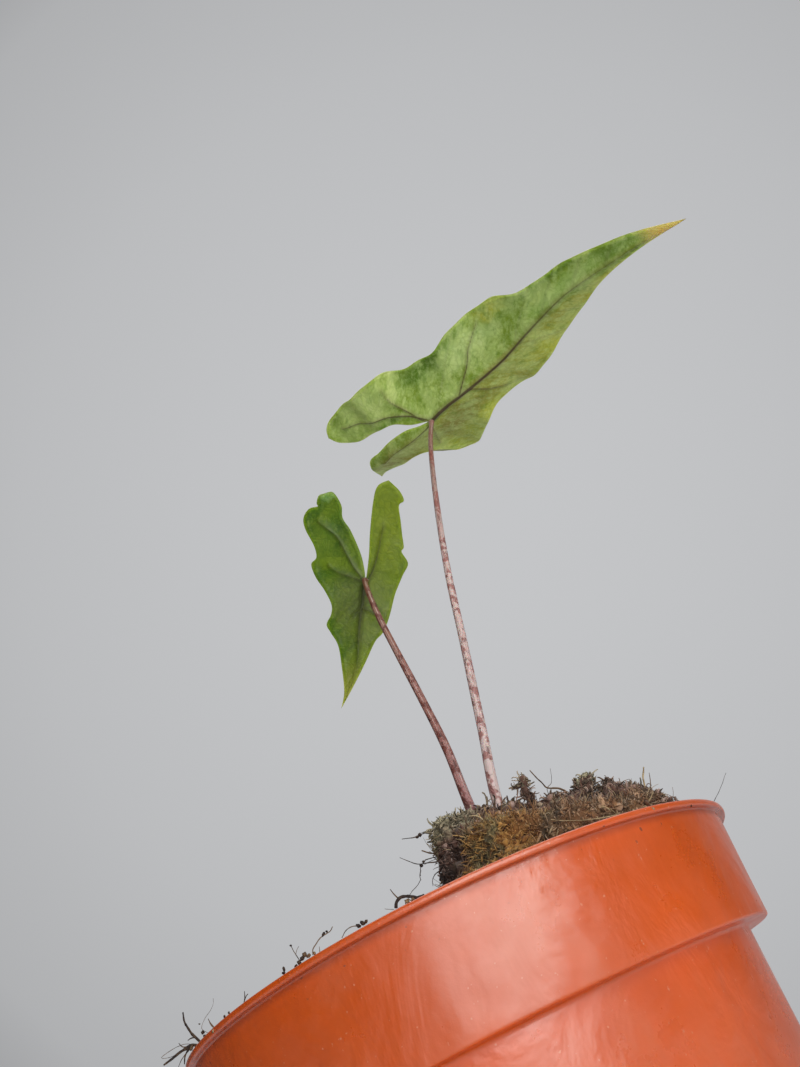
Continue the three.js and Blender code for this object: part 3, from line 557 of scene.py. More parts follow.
class Finish:
    """Procedural material with one Principled shader. Its methods add nodes and return their outputs."""

    def __init__(self, name, **sockets):
        """Makes the material and sets the shader's own values."""
        self.material = bpy.data.materials.new(name)
        self.material.use_nodes = True
        self.nodes = self.material.node_tree.nodes
        self.links = self.material.node_tree.links
        self.shader = self.nodes["Principled BSDF"]
        for socket, value in sockets.items():
            self.shader.inputs[socket.replace("_", " ")].default_value = value

    def feed(self, socket, value):
        """Joins an output to a socket, or sets the socket's own value."""
        if isinstance(value, bpy.types.NodeSocket):
            self.links.new(value, socket)
        else:
            socket.default_value = value

    def node(self, kind, settings=None, **inputs):
        """Adds a node, with its settings and inputs."""
        made = self.nodes.new("ShaderNode" + kind)
        for key, value in (settings or {}).items():
            setattr(made, key, value)
        for key, value in inputs.items():
            self.feed(made.inputs[key.replace("_", " ")], value)
        return made

    def place(self):
        """Object coordinates, in metres."""
        return self.node("TexCoord").outputs["Object"]

    def field(self, name, vector=False):
        """A named value of the mesh's points."""
        made = self.node("Attribute", {"attribute_name": name})
        return made.outputs["Vector" if vector else "Fac"]

    def stretched(self, vector, scale, shift=(0.0, 0.0, 0.0)):
        """Coordinates scaled along each axis, then shifted."""
        return self.node("Mapping", Vector=vector, Scale=scale, Location=shift).outputs["Vector"]

    def grain(self, vector, scale, detail=4.0, coarse=0.55, twist=0.0):
        """Noise from 0 to 1 at a scale."""
        made = self.node("TexNoise", Vector=vector, Scale=scale, Detail=detail, Roughness=coarse,
                         Distortion=twist)
        return made.outputs["Fac"]

    def cells(self, vector, scale, feature="F1"):
        """Distance from the nearest random point."""
        made = self.node("TexVoronoi", {"feature": feature}, Vector=vector, Scale=scale)
        return made.outputs["Distance"]

    def span(self, value, low, high, to_low=0.0, to_high=1.0, kind="SMOOTHSTEP"):
        """Value taken from one range to another."""
        made = self.node("MapRange", {"interpolation_type": kind})
        for key, given in (("Value", value), ("From Min", low), ("From Max", high),
                           ("To Min", to_low), ("To Max", to_high)):
            self.feed(made.inputs[key], given)
        return made.outputs["Result"]

    def maths(self, operation, first, second=0.0):
        """One sum on two numbers."""
        made = self.node("Math", {"operation": operation})
        self.feed(made.inputs[0], first)
        self.feed(made.inputs[1], second)
        return made.outputs[0]

    def vectors(self, operation, *given):
        """Outputs of one sum on vectors."""
        made = self.node("VectorMath", {"operation": operation})
        for socket, value in zip(made.inputs, given):
            self.feed(socket, value)
        return made.outputs

    def mix(self, share, first, second):
        """Second colour laid over the first by a share."""
        made = self.node("Mix", {"data_type": "RGBA"})
        self.feed(made.inputs[0], share)
        for socket, colour in ((made.inputs[6], first), (made.inputs[7], second)):
            self.feed(socket, (*colour, 1.0) if isinstance(colour, tuple) else colour)
        return made.outputs[2]

    def layer(self, base, colour, value, low, high, strength=1.0, kind="SMOOTHSTEP"):
        """Colour laid over a base up to a strength, as a value goes from low to high."""
        return self.mix(self.span(value, low, high, 0.0, strength, kind), base, colour)

    def bump(self, height, distance, strength=1.0, normal=None):
        """Surface relief from a height from 0 to 1, over a distance in metres."""
        made = self.node("Bump", Height=height, Distance=distance, Strength=strength)
        if normal is not None:
            self.links.new(normal, made.inputs["Normal"])
        return made.outputs["Normal"]

    def done(self, colour, roughness=None, normal=None):
        """Joins colour, roughness and relief to the shader."""
        self.feed(self.shader.inputs["Base Color"], colour)
        if roughness is not None:
            self.feed(self.shader.inputs["Roughness"], roughness)
        if normal is not None:
            self.links.new(normal, self.shader.inputs["Normal"])
        return self.material


def deeper(colour, share):
    """Colour multiplied by a share."""
    return tuple(share * value for value in colour)


def pot_profile():
    """Radius and height along the pot's section, from the middle of the underside round to the middle of
    the inside floor. Each corner P is rounded by (1-t)^2 A + 2t(1-t) P + t^2 B, where A and B lie its own
    rounding back along the two edges, and long edges get a place every 2 mm."""
    lip_foot = POT_HEIGHT - LIP_HEIGHT
    ledge = COLLAR_FOOT + WALL
    channel_top = CHANNEL_RISE + FLOOR

    def body(z):
        """Outer radius of the body at a height."""
        return BASE_RADIUS + (BODY_TOP_RADIUS - BASE_RADIUS) * z / COLLAR_FOOT

    def collar(z):
        """Outer radius of the collar at a height."""
        rise = (z - COLLAR_FOOT) / (lip_foot - COLLAR_FOOT)
        return COLLAR_FOOT_RADIUS + (COLLAR_TOP_RADIUS - COLLAR_FOOT_RADIUS) * rise

    corners = np.array([
        (0, 0, 0), (CHANNEL_INNER_RADIUS - 1, 0, 0.5), (CHANNEL_INNER_RADIUS, CHANNEL_RISE, 0.5),
        (CHANNEL_OUTER_RADIUS - 1, CHANNEL_RISE, 0.5), (CHANNEL_OUTER_RADIUS, 0, 0.5),
        (BASE_RADIUS - 0.6, 0, 0.9), (body(1.0), 1.0, 0.5), (body(COLLAR_FOOT), COLLAR_FOOT, 0.7),
        (COLLAR_FOOT_RADIUS - 0.1, COLLAR_FOOT, 0.45), (collar(lip_foot), lip_foot, 0.35),
        (RIM_RADIUS - 0.1, lip_foot + 0.02, 0.5), (RIM_RADIUS, POT_HEIGHT, 0.55),
        (collar(lip_foot) - WALL, POT_HEIGHT, 0.6), (collar(ledge) - WALL, ledge, 0.5),
        (body(ledge) - WALL, ledge, 0.5), (body(channel_top) - WALL, channel_top, 1.0),
        (CHANNEL_INNER_RADIUS - FLOOR, channel_top, 0.6), (CHANNEL_INNER_RADIUS - FLOOR - 1, FLOOR, 0.6),
        (0, FLOOR, 0),
    ])
    places, rounding = corners[:, :2], corners[:, 2]
    forward = unit(np.diff(places, axis=0))
    share = np.linspace(0.0, 1.0, 6)[None, :, None]
    middle = places[1:-1, None]
    entry = middle - (forward[:-1] * rounding[1:-1, None])[:, None]
    leave = middle + (forward[1:] * rounding[1:-1, None])[:, None]
    arcs = (1 - share) ** 2 * entry + 2 * share * (1 - share) * middle + share ** 2 * leave
    path = np.vstack([places[:1], arcs.reshape(-1, 2), places[-1:]])
    gaps = np.linalg.norm(np.diff(path, axis=0), axis=1)
    runs = [np.linspace(a, b, max(2, int(gap / 2.0) + 2))[:-1] for a, b, gap in zip(path, path[1:], gaps)]
    return np.vstack(runs + [path[-1:]])


def pot_mesh(settings):
    """Lathe of the profile round the upright axis. The wall's radius is uneven by soft noise of two cell
    sizes, which moves the inside and the outside alike and fades out near the base and the lip, and round
    drain holes are cut through the raised channel."""
    profile = pot_profile()
    turn = full_turn(settings.sides)
    radius = profile[1:-1, :1] * np.ones_like(turn)
    height = profile[1:-1, 1:]
    where = around(radius, turn, height).reshape(-1, 3)
    soft = noise(where * (1.0, 1.0, 0.8), 15.0, 3) + 0.5 * noise(where * (1.0, 1.0, 0.5), 5.5, 4)
    near_lip = smooth(where[:, 2], POT_HEIGHT - 3.5, POT_HEIGHT - 1.5)
    wall_only = smooth(where[:, 2], 8.0, 20.0) * (1.0 - near_lip)
    radius = radius + (settings.ripple / MM * soft * wall_only).reshape(radius.shape)
    ends = [np.array([0, 0, profile[row, 1]]) for row in (0, -1)]
    points, face_sets = closed_rings(around(radius, turn, height), *ends)
    return drilled(make_mesh("pot_skin", points, face_sets))


def drilled(mesh):
    """The pot with its drain holes: eight upright drills in one mesh are taken away from it."""
    turn = full_turn(40)
    rings = np.stack([around(DRAIN_RADIUS, turn, z) for z in (DRILL_FOOT, DRILL_TOP)])
    points, face_sets = closed_rings(rings, np.array([0, 0, DRILL_FOOT]), np.array([0, 0, DRILL_TOP]))
    angle = full_turn(DRAIN_COUNT) + np.pi / DRAIN_COUNT
    shifts = around((CHANNEL_INNER_RADIUS + CHANNEL_OUTER_RADIUS) / 2.0, angle, 0.0)
    drills = make_mesh("drills", (points[None] + shifts[:, None]).reshape(-1, 3),
                       copied_faces(face_sets, len(points), DRAIN_COUNT))
    blank = bpy.data.objects.new("pot_blank", mesh)
    tool = bpy.data.objects.new("pot_drill", drills)
    for item in (blank, tool):
        bpy.context.scene.collection.objects.link(item)
    cut = blank.modifiers.new("drain", "BOOLEAN")
    cut.operation = "DIFFERENCE"
    cut.solver = "EXACT"
    cut.object = tool
    graph = bpy.context.evaluated_depsgraph_get()
    finished = bpy.data.meshes.new_from_object(blank.evaluated_get(graph))
    for item in (blank, tool):
        bpy.data.objects.remove(item)
    finished.name = "pot_skin"
    return finished


def pot_finish(settings):
    """Orange moulded plastic: slightly uneven tone, rubbed gloss with soft wrinkles, faint upright scuffs,
    small pale rubs, specks of dirt just below the lip, and a painted shadow: a darker line right under the
    lip."""
    colour = tuple(settings.colour)
    lip_foot = (POT_HEIGHT - LIP_HEIGHT) * MM
    finish = Finish("orange_plastic", IOR=1.87, Subsurface_Weight=0.03, Subsurface_Scale=0.002)
    place = finish.place()
    height = finish.node("SeparateXYZ", Vector=place).outputs["Z"]
    tone = finish.grain(place, 28.0, 3.0)
    blush = finish.grain(finish.stretched(place, (1.0, 1.0, 0.5)), 55.0, 4.0, 0.6)
    streak = finish.grain(finish.stretched(place, (420.0, 420.0, 30.0)), 1.0, 5.0, 0.6)
    base = finish.layer(deeper(colour, 0.84), colour, tone, 0.35, 0.65)
    base = finish.layer(base, paint(222, 128, 88), blush, 0.5, 0.75, 0.3)
    base = finish.layer(base, paint(226, 150, 110), streak, 0.62, 0.8, 0.08)
    # Painted shadow: a thin darker line right under the lip's bead
    shadow_line = finish.maths("MULTIPLY", finish.span(height, lip_foot - 0.0016, lip_foot - 0.0002),
                               finish.span(height, lip_foot + 0.0002, lip_foot - 0.0001))
    base = finish.mix(finish.maths("MULTIPLY", shadow_line, 0.45), base, paint(120, 44, 22))
    near_lip = finish.span(height, lip_foot - 0.0068, lip_foot - 0.0003)
    speck = finish.span(finish.grain(place, 700.0, 2.0, 0.5), 0.70, 0.75)
    dirt = finish.maths("MULTIPLY", speck, finish.maths("MULTIPLY", near_lip, 0.7))
    base = finish.mix(dirt, base, paint(70, 44, 30))
    base = finish.layer(base, paint(236, 190, 160), finish.grain(place, 1500.0, 1.0, 0.5), 0.74, 0.79, 0.35)
    rubbed = finish.grain(place, 60.0, 6.0, 0.65)
    gloss = finish.span(rubbed, 0.3, 0.7, settings.roughness - 0.07, settings.roughness + 0.1)
    gloss = finish.maths("ADD", gloss, finish.maths("MULTIPLY", dirt, 0.35))
    wrinkle = finish.grain(finish.stretched(place, (1.0, 1.0, 0.7)), 70.0, 4.0, 0.5, 0.8)
    crumple = finish.span(finish.cells(place, 170.0), 0.0, 0.6)
    relief = finish.bump(wrinkle, 0.0012, 0.5)
    relief = finish.bump(crumple, 0.00022, 0.3, relief)
    relief = finish.bump(finish.grain(place, 900.0, 3.0), 0.00006, 0.35, relief)
    return finish.done(base, gloss, relief)


class ALOCASIA_OT_pot(bpy.types.Operator):
    """Add the nursery pot"""

    bl_idname = "alocasia.add_pot"
    bl_label = "Add Pot"

    def execute(self, context):
        """Builds the pot and its plastic."""
        settings = context.scene.alocasia_pot
        add_piece("pot_skin", pot_mesh(settings), pot_finish(settings), "pot_plastic", "pot")
        return {"FINISHED"}


def crown(across, back):
    """Height of the plug's crown at distances across and back from its middle, as in the part: highest at
    the left, and falling away to the right, to the back and to the furry front by smooth steps."""
    height = PLUG_TOP
    falls = [(across, *fall) for fall in CROWN_ACROSS] + [(back, *CROWN_BACK), (-back, *CROWN_FRONT)]
    for distance, depth, begin, end in falls:
        height = height - depth * smooth(distance, begin, end)
    return np.maximum(height, CROWN_LEAST)


def from_plug(x, y):
    """Distance from the plug's axis."""
    return np.hypot(x - PLUG_X, y - PLUG_Y)


def mix_height(x, y):
    """Height of the mix, as in the part: level, with soft lumps, and heaped round the front of the plug."""
    from_axis = np.hypot(x, y)
    front = 1.0 - 0.75 * smooth(y, *HEAP_FRONT)
    heap = MIX_HEAP * front * (1.0 - smooth(from_plug(x, y), *HEAP_REACH))
    heap = heap * (1.0 - smooth(from_axis, *HEAP_WALL_FADE))
    return MIX_LEVEL + heap + MIX_LUMP * (1.0 - smooth(from_axis, 52.0, 56.0)) * lumps(x, y, 0.0 * x, 13.0)


def mix_surface(x, y):
    """Mix height with crumbly noise that dies out at the wall."""
    flat = np.stack([x, y, 0.0 * x], axis=-1).reshape(-1, 3)
    crumbly = 1.1 * rough(flat, 5.0, 4, 21).reshape(np.shape(x))
    return mix_height(x, y) + crumbly * (1.0 - smooth(np.hypot(x, y), 53.0, 56.5))


def on_mix(x, y, lift=0.0):
    """Points of the mix's surface at places (x, y), raised by a lift."""
    return np.stack([x, y, mix_surface(x, y) + lift], axis=-1)


def mix_mesh():
    """Closed body of the mix. Rays leave the plug's middle at even angles. Going outwards, rings line the
    plug's well, cross the top from the well to the wall in shares that crowd near the well, and go down the
    wall to the pot's floor. A ray meets a circle round the pot's axis where x^2 + y^2 is the square of the
    circle's radius."""
    sides, well_rings, top_rings, crowding = 420, 14, 118, 1.25
    turn = full_turn(sides)
    ray_x, ray_y = np.cos(turn), np.sin(turn)
    middle_run = PLUG_X * ray_x + PLUG_Y * ray_y

    def to_circle(radius):
        """Run along each ray to a circle round the pot's axis."""
        return -middle_run + np.sqrt(middle_run ** 2 - PLUG_X ** 2 - PLUG_Y ** 2 + radius ** 2)

    def ring(run, z):
        """Points at runs along the rays and at a height."""
        return np.stack([PLUG_X + run * ray_x, PLUG_Y + run * ray_y, z * np.ones_like(turn)], axis=-1)

    well_z = np.concatenate([[WELL_FOOT], np.linspace(WELL_FOOT, MIX_LEVEL - 4.0, well_rings)])
    well_r = np.interp(well_z, WELL_HEIGHTS, WELL_RADII)
    well_r[0] = WELL_FOOT_RADIUS
    rings = [ring(radius, z) for radius, z in zip(well_r, well_z)]
    outer = to_circle(MIX_RADIUS)
    for share in np.linspace(0.0, 1.0, top_rings):
        run = WELL_LIP_RADIUS + (outer - WELL_LIP_RADIUS) * share ** crowding
        rings.append(on_mix(PLUG_X + run * ray_x, PLUG_Y + run * ray_y))
    rings += [ring(to_circle(radius), z) for radius, z in MIX_WALL]
    rings += [around(radius, turn, z) for radius, z in MIX_FOOT]
    start, end = np.array([PLUG_X, PLUG_Y, WELL_FOOT]), np.array([0.0, 0.0, MIX_FOOT[-1][1]])
    points, face_sets = closed_rings(np.stack(rings), start, end)
    shade = 0.5 + 0.5 * noise(points, 3.0, 8)
    heap = smooth(points[:, 2], 100.5, 104.0)
    fields = {"shade": shade, "gold": moss_gold(points) * heap, "pale": 0.0 * shade,
              "dark": 0.5 * (1.0 - heap)}
    return make_mesh("mix_body", points, face_sets, fields)


def moss_left(x, z):
    """Distance from the slanted line that parts the golden moss from the dark left side."""
    return x - 0.45 * (z - 110.0)


def moss_gold(points):
    """How golden the moss is: the front of the plug and the heap before it, most at the left."""
    x, y, z = points.T
    edge = 1.8 * noise(points, 2.6, 31)
    front = smooth(-y + edge, 34.5, 39.5)
    low = 1.0 - smooth(z + edge, 115.5, 118.5)
    left = smooth(moss_left(x, z) + edge, 0.5, 5.5)
    return front * low * left * (1.0 - 0.6 * smooth(x + 2.0 * edge, 13.0, 23.0))


def moss_pale(points):
    """How pale the moss is: the cap of pale moss at the top left, and loose flecks elsewhere."""
    x, y, z = points.T
    edge = 1.3 * noise(points, 2.0, 32)
    cap = (1.0 - smooth(x + edge, 8.0, 12.0)) * smooth(z + edge, 117.0, 119.5) * smooth(-y, 12.0, 20.0)
    flecks = 0.5 * smooth(noise(points, 1.5, 33), 0.35, 0.7)
    return np.maximum(0.9 * cap, flecks * (1.0 - moss_gold(points)))


def painted_moss_shade(points):
    """How much shade is painted on the moss and crumbs: the plug's steep left side in the shade below the
    cap, which takes in the crumbs on the left of the mix too, and noise patches painted as shade in hollows
    between crumbs.
    """
    x, z = points[:, 0], points[:, 2]
    side = (1.0 - smooth(moss_left(x, z), 2.5, 7.5)) * (1.0 - smooth(z, 115.0, 118.0))
    return np.clip(0.62 * side + 0.4 * smooth(noise(points, 2.2, 34), 0.1, 0.8), 0.0, 1.0)


def moss_fields(points, shade):
    """Tone values of moss and crumbs at their places; the dark value is painted shade."""
    return {"shade": shade, "gold": moss_gold(points), "pale": moss_pale(points), "dark": painted_moss_shade(points)}


def plug_place(turn, level):
    """Point of the plug at an angle and a share of its section, as in the part: a tapered foot, a steep
    side and a crown that is cut to the crown's height, with lumps that grow above the mix, and finer
    crumbly noise outwards on the side and upwards on the crown."""
    run = np.concatenate([[0.0], np.cumsum(np.linalg.norm(np.diff(PLUG_LEVELS, axis=0), axis=1))])
    z = np.interp(level * run[-1], run, PLUG_LEVELS[:, 0])
    radius = np.interp(level * run[-1], run, PLUG_LEVELS[:, 1])
    across, back = radius * np.cos(turn), radius * np.sin(turn)
    height = np.minimum(z, crown(across, back))
    grit = smooth(height, 99.0, 109.0)
    bump = PLUG_LUMP * grit * lumps(PLUG_X + across, PLUG_Y + back, height, 9.0)
    flat = np.stack([PLUG_X + across, PLUG_Y + back, height], axis=-1)
    fine = 0.9 * grit * rough(flat.reshape(-1, 3), 3.6, 4, 41).reshape(np.shape(turn))
    top = smooth(z, POT_HEIGHT + 8.0, PLUG_TOP)
    spread = 1.0 + (bump + fine * (1.0 - top)) / np.maximum(radius, 2.0) * smooth(radius, 0.5, 4.0)
    return np.stack([PLUG_X + spread * across, PLUG_Y + spread * back,
                     height + top * (1.5 * bump + fine)], axis=-1)


def plug_samples(random, count, lowest):
    """Random points of the plug above a height, with their outward directions, from small differences of
    the surface. A point is kept by the share of its radius, so that they are spread evenly."""
    tries = 3 * count
    turn = random.uniform(0.0, 2.0 * np.pi, tries)
    level = random.uniform(0.45, 1.0, tries)
    place = plug_place(turn, level)
    run = from_plug(place[:, 0], place[:, 1])
    keep = (random.uniform(0.0, 22.0, tries) < run) & (place[:, 2] > lowest)
    turn, level, place = turn[keep][:count], level[keep][:count], place[keep][:count]
    beside = plug_place(turn + 0.01, level) - place
    above = plug_place(turn, level + 0.004) - place
    return place, unit(np.cross(beside, above))


# Clumps of moss on the plug: middle, radii, and how pale each is from 0 to 1
CLUMPS = np.array([
    (4.6, -28, 120.7, 3.7, 4.8, 2.4, 1), (2.8, -27.5, 118.4, 2.1, 3.6, 2.6, 0.9),
    (8, -31, 119.7, 3, 2.8, 1.8, 0.7), (12.7, -29.6, 120, 1.7, 1.6, 1.4, 0.25),
    (17.5, -28.6, 119.3, 2.1, 2, 1.3, 0.3), (3.6, -29, 112.6, 3.4, 5.4, 5.2, 0),
    (21.7, -27, 117.8, 1.5, 1.5, 1.6, 0.1), (21.95, -27, 119.6, 0.85, 0.8, 1.6, 0.1),
    (21.9, -27, 121.6, 0.85, 0.8, 1.4, 0.1), (22.5, -27, 123.5, 0.95, 0.9, 1.25, 0.7),
    (20.9, -27, 123.2, 0.95, 0.7, 0.55, 0.5), (25.8, -26.5, 117.4, 2.7, 2.5, 1.5, 0.2),
    (28.1, -26.3, 116.4, 1.2, 1.6, 1.3, 0.2), (31.2, -26.2, 115.8, 2.1, 2.4, 2.2, 0.1),
    (33, -25.6, 117.2, 2.1, 2.5, 2.5, 0.25), (33.5, -25.6, 118.9, 1.9, 1.8, 0.95, 1),
    (37.2, -25.2, 115.5, 1.8, 2.4, 2, 0.15), (40, -25.2, 113.3, 2.1, 2.5, 1.8, 0.3),
    (42, -25.2, 112.1, 0.9, 1.3, 1.6, 1), (43.8, -25.5, 109.6, 1.7, 2.1, 1.7, 0.2),
    (45.9, -25.8, 107.7, 1.5, 2, 1.4, 0.1), (29, -14, 113.3, 3.2, 3, 2.3, 0.4),
    (16, -12, 115.6, 3.6, 3.4, 2.2, 0.3), (36, -15, 110.8, 3.2, 3, 2.2, 0.1),
    (30, -36.5, 111, 2.4, 2, 1.5, 0.1), (36.6, -34.5, 109.9, 2.2, 2, 1.6, 0.2),
])


def clump_samples(random, count, weights):
    """Clumps picked at random by weight, points on their skins and the directions there: random unit
    directions times each clump's three radii."""
    picks = random.choice(len(CLUMPS), count, p=weights / weights.sum())
    outward = unit(random.normal(size=(count, 3)))
    return picks, CLUMPS[picks, :3] + outward * CLUMPS[picks, 3:6], outward


def clump_cores():
    """Cores of the clumps: ellipsoids with rings of points, their radii uneven by fractal noise."""
    rows, sides, shrink = 22, 30, 0.92
    polar = (np.pi * (np.arange(1, rows + 1) / (rows + 1.0)))[:, None]
    ball = around(np.sin(polar), full_turn(sides), np.cos(polar))
    one, one_faces = closed_rings(ball, np.array(UPWARDS), -np.array(UPWARDS))
    middle, radii = CLUMPS[:, None, :3], CLUMPS[:, None, 3:6]
    where = (middle + one[None] * radii).reshape(-1, 3)
    uneven = 1.0 + 0.3 * rough(where, 1.8, 3, 51).reshape(len(CLUMPS), -1, 1)
    points = middle + one[None] * radii * uneven * shrink
    return points.reshape(-1, 3), copied_faces(one_faces, len(one), len(CLUMPS))


def plug_mesh():
    """The plug's own surface on a grid of angles and shares of its section, with the clumps' cores."""
    turn = full_turn(330)
    level = np.concatenate([np.linspace(0.08, 0.42, 14), np.linspace(0.425, 0.985, 118)])
    rings = plug_place(*np.broadcast_arrays(turn[None, :], level[:, None]))
    end = plug_place(np.zeros(1), np.ones(1))[0]
    points, face_sets = closed_rings(rings, np.array([PLUG_X, PLUG_Y, PLUG_FOOT]), end)
    core_points, core_faces = clump_cores()
    joined = np.vstack([points, core_points])
    face_sets = face_sets + [faces + len(points) for faces in core_faces]
    shade = 0.5 + 0.5 * noise(joined, 1.6, 52)
    return make_mesh("plug_body", joined, face_sets, moss_fields(joined, 0.6 * shade))


def moss_mesh(settings):
    """Moss flakes: long thin eight-sided flakes on the plug, its clumps and the golden heap. They stand
    just clear of the surface, by a random share of their own length along its outward direction."""
    random = np.random.default_rng(7)
    place, outward = plug_samples(random, int(0.62 * settings.flakes), 102.0)
    weights = CLUMPS[:, 3] * CLUMPS[:, 4]
    picks, on_clump, off_clump = clump_samples(random, int(0.28 * settings.flakes), weights)
    x = random.uniform(-6.0, 50.0, int(0.9 * settings.flakes))
    y = random.uniform(-56.0, -12.0, len(x))
    run = from_plug(x, y)
    inside = (np.hypot(x, y) < FLAKE_REACH) & (run > 19.0) & (run < 34.0)
    heap = on_mix(x[inside], y[inside])
    places = np.vstack([place, on_clump, heap])
    directions = np.vstack([outward, off_clump, np.tile(UPWARDS, (len(heap), 1))])
    count = len(places)
    length = random.lognormal(-0.75, 0.35, count) * (1.0 + 0.35 * moss_gold(places))
    stretches = np.stack([length, length * random.uniform(0.2, 0.42, count),
                          length * random.uniform(0.1, 0.25, count)], axis=-1)
    centres = places + directions * (length * random.uniform(0.0, 0.75, count))[:, None]
    flake = eight_sided()
    each = len(flake[0])
    points, faces = scatter(random, flake, centres, stretches, 0.25)
    shade = np.repeat(random.uniform(0.0, 1.0, count) ** 1.3, each)
    fields = moss_fields(np.repeat(places, each, axis=0), shade)
    clumped = slice(each * len(place), each * (len(place) + len(picks)))
    fields["pale"][clumped] = np.repeat(CLUMPS[picks, 6], each)
    return make_mesh("moss_flakes", points, [faces], fields)


def crumb_mesh(settings):
    """Crumbs of bark, peat and old moss: uneven twenty-sided grains sunk a little into the surface, small
    ones far more common, on the mix everywhere and on the plug's crown and sides."""
    random = np.random.default_rng(11)
    count = int(0.6 * settings.crumbs)
    run = CRUMB_REACH * np.sqrt(random.uniform(0.0, 1.0, 2 * count))
    turn = random.uniform(0.0, 2.0 * np.pi, 2 * count)
    x, y = run * np.cos(turn), run * np.sin(turn)
    clear = from_plug(x, y) > PLUG_TOP_RADIUS
    x, y = x[clear][:count], y[clear][:count]
    size = np.minimum(random.lognormal(-0.45, 0.5, len(x)), CRUMB_LIMIT - np.hypot(x, y))
    size = np.clip(size, 0.25, 2.6)
    plug_places, outward = plug_samples(random, settings.crumbs - count, 104.0)
    plug_size = np.clip(random.lognormal(-1.0, 0.45, len(plug_places)), 0.15, 1.1)
    plug_size *= 1.0 - 0.5 * moss_gold(plug_places)
    places = np.vstack([on_mix(x, y, 0.15 * size), plug_places + 0.2 * outward * plug_size[:, None]])
    sizes = np.concatenate([size, plug_size])
    stretches = sizes[:, None] * random.uniform(0.5, 1.15, (len(places), 3))
    grain = twenty_sided()
    each = len(grain[0])
    points, faces = scatter(random, grain, places, stretches, 0.28)
    shade = np.repeat(random.uniform(0.0, 1.0, len(places)), each)
    fields = moss_fields(np.repeat(places, each, axis=0), shade)
    fields["pale"] *= 0.7
    fields["gold"] *= np.repeat(places[:, 2] > 101.0, each)
    return make_mesh("soil_crumbs", points, [faces], fields)


def curled_threads(random, count):
    """Peat threads: short bent tubes that curl out of the clumps and the crown and back again."""
    on_plug, off_plug = plug_samples(random, int(0.5 * count), 104.0)
    weights = (CLUMPS[:, 3] * CLUMPS[:, 5]) ** 0.8
    picks, on_clump, off_clump = clump_samples(random, count - len(on_plug), weights)
    roots, outward = np.vstack([on_plug, on_clump]), np.vstack([off_plug, off_clump])
    keep = moss_gold(roots) < 0.35
    pale = np.concatenate([moss_pale(on_plug), 0.8 * CLUMPS[picks, 6]])[keep]
    roots, outward = roots[keep], outward[keep]
    length = random.lognormal(0.1, 0.35, len(roots))[:, None]
    drift = unit(random.normal(size=roots.shape))
    bends = roots + outward * 0.75 * length + 0.35 * drift * length
    rise = random.uniform(-0.1, 0.8, (len(roots), 1))
    tips = roots + outward * rise * length + 0.9 * drift * length
    thick = random.uniform(0.1, 0.26, len(roots))
    points, face_sets = bent_fibres(roots, bends, tips, thick, 0.6 * thick, 5, 4)
    each = len(points) // len(roots)
    shade = random.uniform(0.0, 1.0, len(roots)) ** 1.2
    tones = {"shade": shade, "gold": 0.0 * shade, "pale": pale, "dark": 0.8 * painted_moss_shade(roots)}
    return points, face_sets, {field: np.repeat(values, each) for field, values in tones.items()}


def golden_shoots(random, count):
    """Moss shoots: short bent tubes that stand on the golden front, leaning outwards and up."""
    front, off_front = plug_samples(random, 9 * count, 103.0)
    x, y = random.uniform(2.0, 42.0, count), random.uniform(-54.0, -36.0, count)
    inside = (np.hypot(x, y) < SHOOT_REACH) & (from_plug(x, y) > HIDDEN_RADIUS)
    heap = on_mix(x, y)[inside]
    bases = np.vstack([front, heap])
    normals = np.vstack([off_front, np.tile(UPWARDS, (len(heap), 1))])
    chosen = moss_gold(bases) > random.uniform(0.1, 0.7, len(bases))
    bases, normals = bases[chosen][:count], normals[chosen][:count]
    reach = random.lognormal(0.05, 0.35, len(bases))[:, None]
    sway = unit(random.normal(size=bases.shape))
    lean = unit(normals + [0.0, -0.3, 0.15])
    mids = bases + 0.45 * lean * reach + 0.35 * sway * reach
    ends = bases + 0.5 * lean * reach + 1.0 * sway * reach
    width = random.uniform(0.08, 0.17, len(bases))
    points, face_sets = bent_fibres(bases - 0.3 * normals, mids, ends, width, 0.4 * width, 4, 3)
    each = len(points) // len(bases)
    shade = random.uniform(0.15, 1.0, len(bases))
    tones = {"shade": shade, "gold": moss_gold(bases), "pale": 0.0 * shade, "dark": 0.0 * shade}
    return points, face_sets, {field: np.repeat(values, each) for field, values in tones.items()}


def thread_mesh(settings):
    """Peat threads and golden moss shoots in one mesh."""
    random = np.random.default_rng(19)
    points, face_sets, fields = curled_threads(random, settings.threads)
    more, more_faces, more_fields = golden_shoots(random, settings.threads)
    joined = {field: np.concatenate([fields[field], more_fields[field]]) for field in fields}
    face_sets = face_sets + [faces + len(points) for faces in more_faces]
    return make_mesh("moss_threads", np.vstack([points, more]), face_sets, joined)


def plug_fibres(random, count):
    """Roots, bends and tips of the fibres on the plug. Those on its left side are longest."""
    root, outward = plug_samples(random, count, 104.0)
    drift = unit(random.normal(size=(len(root), 3)))
    left = 1.0 - smooth(root[:, 0], 3.0, 10.0)
    length = (random.lognormal(0.55, 0.4, len(root)) * (1.0 + 0.5 * left))[:, None]
    bend = root + outward * (0.45 * length) + drift * (0.3 * length)
    rise = random.uniform(-0.1, 0.7, len(root))[:, None]
    return root, bend, root + outward * (length * rise) + drift * (0.9 * length)


